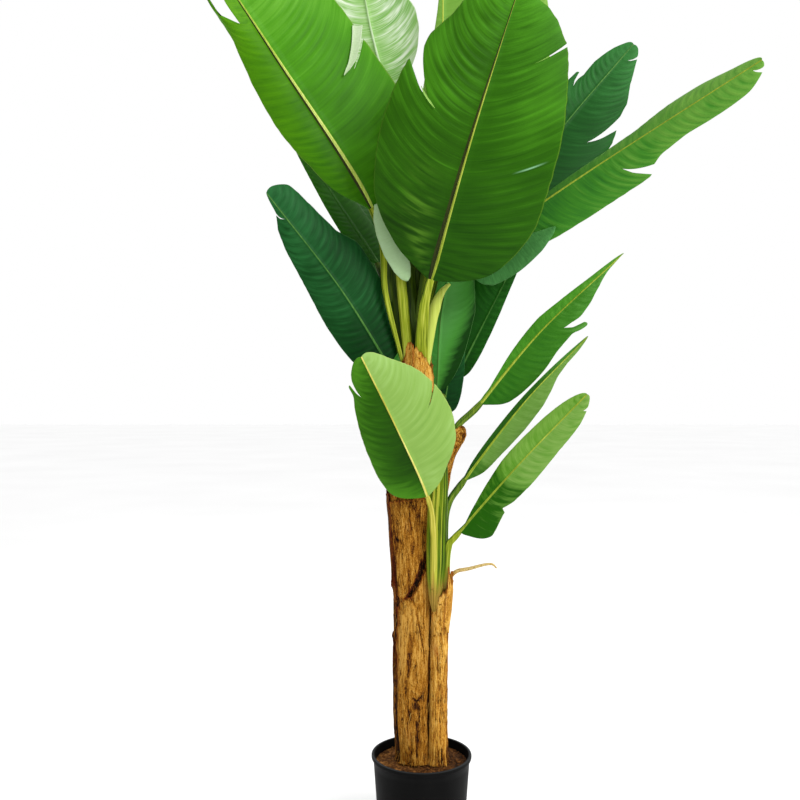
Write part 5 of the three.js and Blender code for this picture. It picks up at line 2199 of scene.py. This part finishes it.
LOBE_FACE = BladeFinish("235020", "3a7036", "54924c", "74aa68", ((0.0, 0.35), (1.0, 0.6)), contrast=0.7)
PALE_FACE = BladeFinish("7c9c6a", "96b484", "b2caa2", "a4c070", ((0.0, 0.5), (1.0, 0.5)), contrast=0.25)
WHITE_FACE = BladeFinish("8fae74", "b4c8a0", "d8e2cc", "c8d8a8", ((0.0, 0.5), (1.0, 0.5)), contrast=0.6)
LIME_FACE = BladeFinish("6c9440", "86b050", "b0d080", "a4c070", ((0.0, 0.5), (1.0, 0.5)), contrast=0.25)
HANGING_LOBE = Flap(
    ((-84, -46, 1266), (-72, -47, 1230), (-57, -48, 1188), (-28, -49, 1113)), (-0.94, 0, -0.34),
    ((0, 25, 10), (0.25, 26, 21), (0.5, 26, 25), (0.75, 22, 25), (0.9, 16, 18), (0.97, 9, 10), (1, 1, 1)),
)
FOLDED_FLAP = Flap(
    ((-128, -20, 1625), (-130, -28, 1592), (-135, -37, 1559), (-141, -43, 1537), (-152, -49, 1515)),
    (1, 0, 0.3), ((0, 10, 11), (0.3, 8, 10), (0.6, 6, 8), (0.85, 4, 4), (1, 0.5, 0.5)), 1.5,
)
LONG_LOBE = Flap(
    ((95, -14, 1138), (135, -14, 1142), (180, -18, 1160), (225, -28, 1192), (262, -38, 1222)),
    (0.45, 0, -0.89),
    (
        (0, 3, 3), (0.02, 12, 8), (0.06, 18, 15), (0.14, 24, 26), (0.25, 30, 33), (0.5, 32, 27),
        (0.75, 22, 20), (0.95, 6, 8), (1, 1, 1),
    ),
    3,
)
SLIT_FOLD = Flap(
    ((-5, -175, 1450), (2, -175, 1434), (11, -174, 1421), (20, -173, 1410)), (1, 0, 0.5),
    ((0, 0.5, 0.5), (0.3, 1.2, 2), (0.7, 1.5, 2), (1, 0.5, 0.5)), 0.5,
)
# Stalks behind the crown, all in low tones: painted shade where they stand in the shadow of the leaves.
SHADE_BUNDLE = StalkStem(
    (
        (930, -10, 4, 24), (980, -16, 12, 32), (1040, -26, 22, 38), (1090, -33, 28, 38),
        (1130, -40, 31, 40), (1170, -36, 33, 37),
    ),
    seed=59, rows=70, columns=96,
    bands=((-0.36, -0.25), (-0.2, -0.3), (-0.08, -0.2), (0.04, -0.3), (0.14, -0.2), (0.3, -0.3)),
    groove=3,
)
HUSK_FORM = BarkStem(
    ((420, 35, -21, 18), (480, 38, -24, 20), (520, 40, -27, 20), (560, 41, -29, 16)), seed=61, rows=60,
    columns=80, folds=7,
)
HUSKS = (
    Sheath(
        HUSK_FORM, ((0.05, 505), (0.1, 556), (0.14, 520), (0.2, 545), (0.3, 535)),
        ((0.05, 440), (0.18, 424), (0.3, 430)), off=2, fray=5, seed=11, sink=True,
    ),
    Sheath(
        HUSK_FORM, ((-0.14, 500), (-0.08, 478), (-0.02, 500), (0.06, 512)),
        ((-0.14, 424), (-0.04, 422), (0.06, 430)), off=1, fray=5, seed=12, sink=True,
    ),
    Sheath(
        HUSK_FORM, ((0.28, 525), (0.45, 540), (0.6, 520)), ((0.28, 430), (0.45, 424), (0.6, 430)), off=2,
        fray=5, seed=13, sink=True,
    ),
)


@dataclass(frozen=True)
class FibrePatch:
    """Torn fibres that stand off a stem: how many, the heights between which they start, and
    their length, below 0 where they hang."""

    stem: Stem
    count: int
    low: float
    high: float
    length: float

    def shell(self, rng: np.random.Generator) -> Shell:
        """The fibres, at random bearings and heights, each a little askew and bowed out.

        Args:
            rng: Source of the random numbers.

        Returns:
            The shell of all of them.
        """
        count = self.count
        turn, z = rng.uniform(0, 1, count), rng.uniform(self.low, self.high, count)
        feet = self.stem.surface(turn, z, np.full(count, 0.5))
        reach = self.length * rng.uniform(0.5, 1.0, count)
        askew = turn + rng.uniform(-0.03, 0.03, count)
        heads = self.stem.surface(askew, np.maximum(z + reach, STEM_FOOT - 3), rng.uniform(1.5, 5.0, count))
        bow = (feet - heads) * 0.05 + rng.uniform(-0.8, 0.8, (count, 3))
        return strands(feet, heads, bow, FIBRE_WIDTH, rng.uniform(0.45, 1.0, count))


FIBRE_WIDTH = 0.55
FIBRE_SEED = 21
FIBRES = (
    FibrePatch(MAIN_STEM, 90, STEM_FOOT + 1, STEM_FOOT + 26, -22),
    FibrePatch(SIDE_STEM, 50, STEM_FOOT + 1, STEM_FOOT + 20, -16),
    FibrePatch(MAIN_STEM, 120, 230, 680, -26), FibrePatch(SIDE_STEM, 40, 230, 480, -20),
    FibrePatch(CAP_FORM, 70, 925, 965, 24),
)


@dataclass(frozen=True)
class Dressing:
    """A piece made of the shells of several forms in one finish.

    slot is the record's material slot that it is listed under, and replaced says whether
    it stands for the node of that name."""

    name: str
    forms: tuple[Stem | Sheath | Flap, ...]
    finish: BladeFinish | StalkFinish | BarkFinish
    slot: str
    replaced: bool = False

    def build(self) -> bpy.types.Object:
        """Makes the piece."""
        return assemble(self.name, [form.shell() for form in self.forms], [self.finish.material()])


SIDE_SKIN = StalkFinish("163202", "5c7808", "b4b43c", (0.49, 0.55))
DRESSINGS = (
    Dressing("main_stem_bark", (MAIN_STEM,), BARK, "main_stem", True),
    Dressing("side_stem_bark", (SIDE_STEM,), GOLD_BARK, "side_stem", True),
    Dressing("stem_sheaths", SHEATHS, BARK, "main_stem"),
    Dressing("husks", HUSKS, GOLD_BARK, "side_stem"),
    Dressing("cap_sheaths", CAP_SHEATHS, GOLD_BARK, "fibre_cap", True),
    Dressing("side_stalk_bundle", (SIDE_STALK,), SIDE_SKIN, "side_stalk", True),
    Dressing("crown_bundle", (CROWN_CORE, SHADE_BUNDLE), OLIVE_STALK, "crown_core", True),
    Dressing("hanging_lobe", (HANGING_LOBE,), PALE_FACE, "leaf_upper_left"),
    Dressing("long_lobe", (LONG_LOBE,), LOBE_FACE, "leaf_right_long"),
    Dressing("folded_flap", (FOLDED_FLAP,), WHITE_FACE, "leaf_upper_left"),
    Dressing("slit_fold", (SLIT_FOLD,), LIME_FACE, "leaf_front"),
)


def main() -> None:
    """Builds every piece in order."""
    logging.basicConfig(level=logging.INFO, format="%(name)s: %(message)s")
    Studio().build()
    pot = Pot()
    show(pot.build(), "pot", "pot")
    show(pot.soil(), "soil", "soil")
    show(pot.flakes(), "soil")
    for row in DRESSINGS:
        show(row.build(), row.slot, *([row.slot] if row.replaced else []))
    rng = np.random.default_rng(FIBRE_SEED)
    fibres = [patch.shell(rng) for patch in FIBRES]
    show(assemble("loose_fibres", fibres, [GOLD_BARK.material()]), "main_stem")
    for plant_piece in (*LEAVES, *TWIGS):
        show(plant_piece.build(), plant_piece.node, plant_piece.node)
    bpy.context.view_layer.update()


if __name__ == "__main__":
    main()
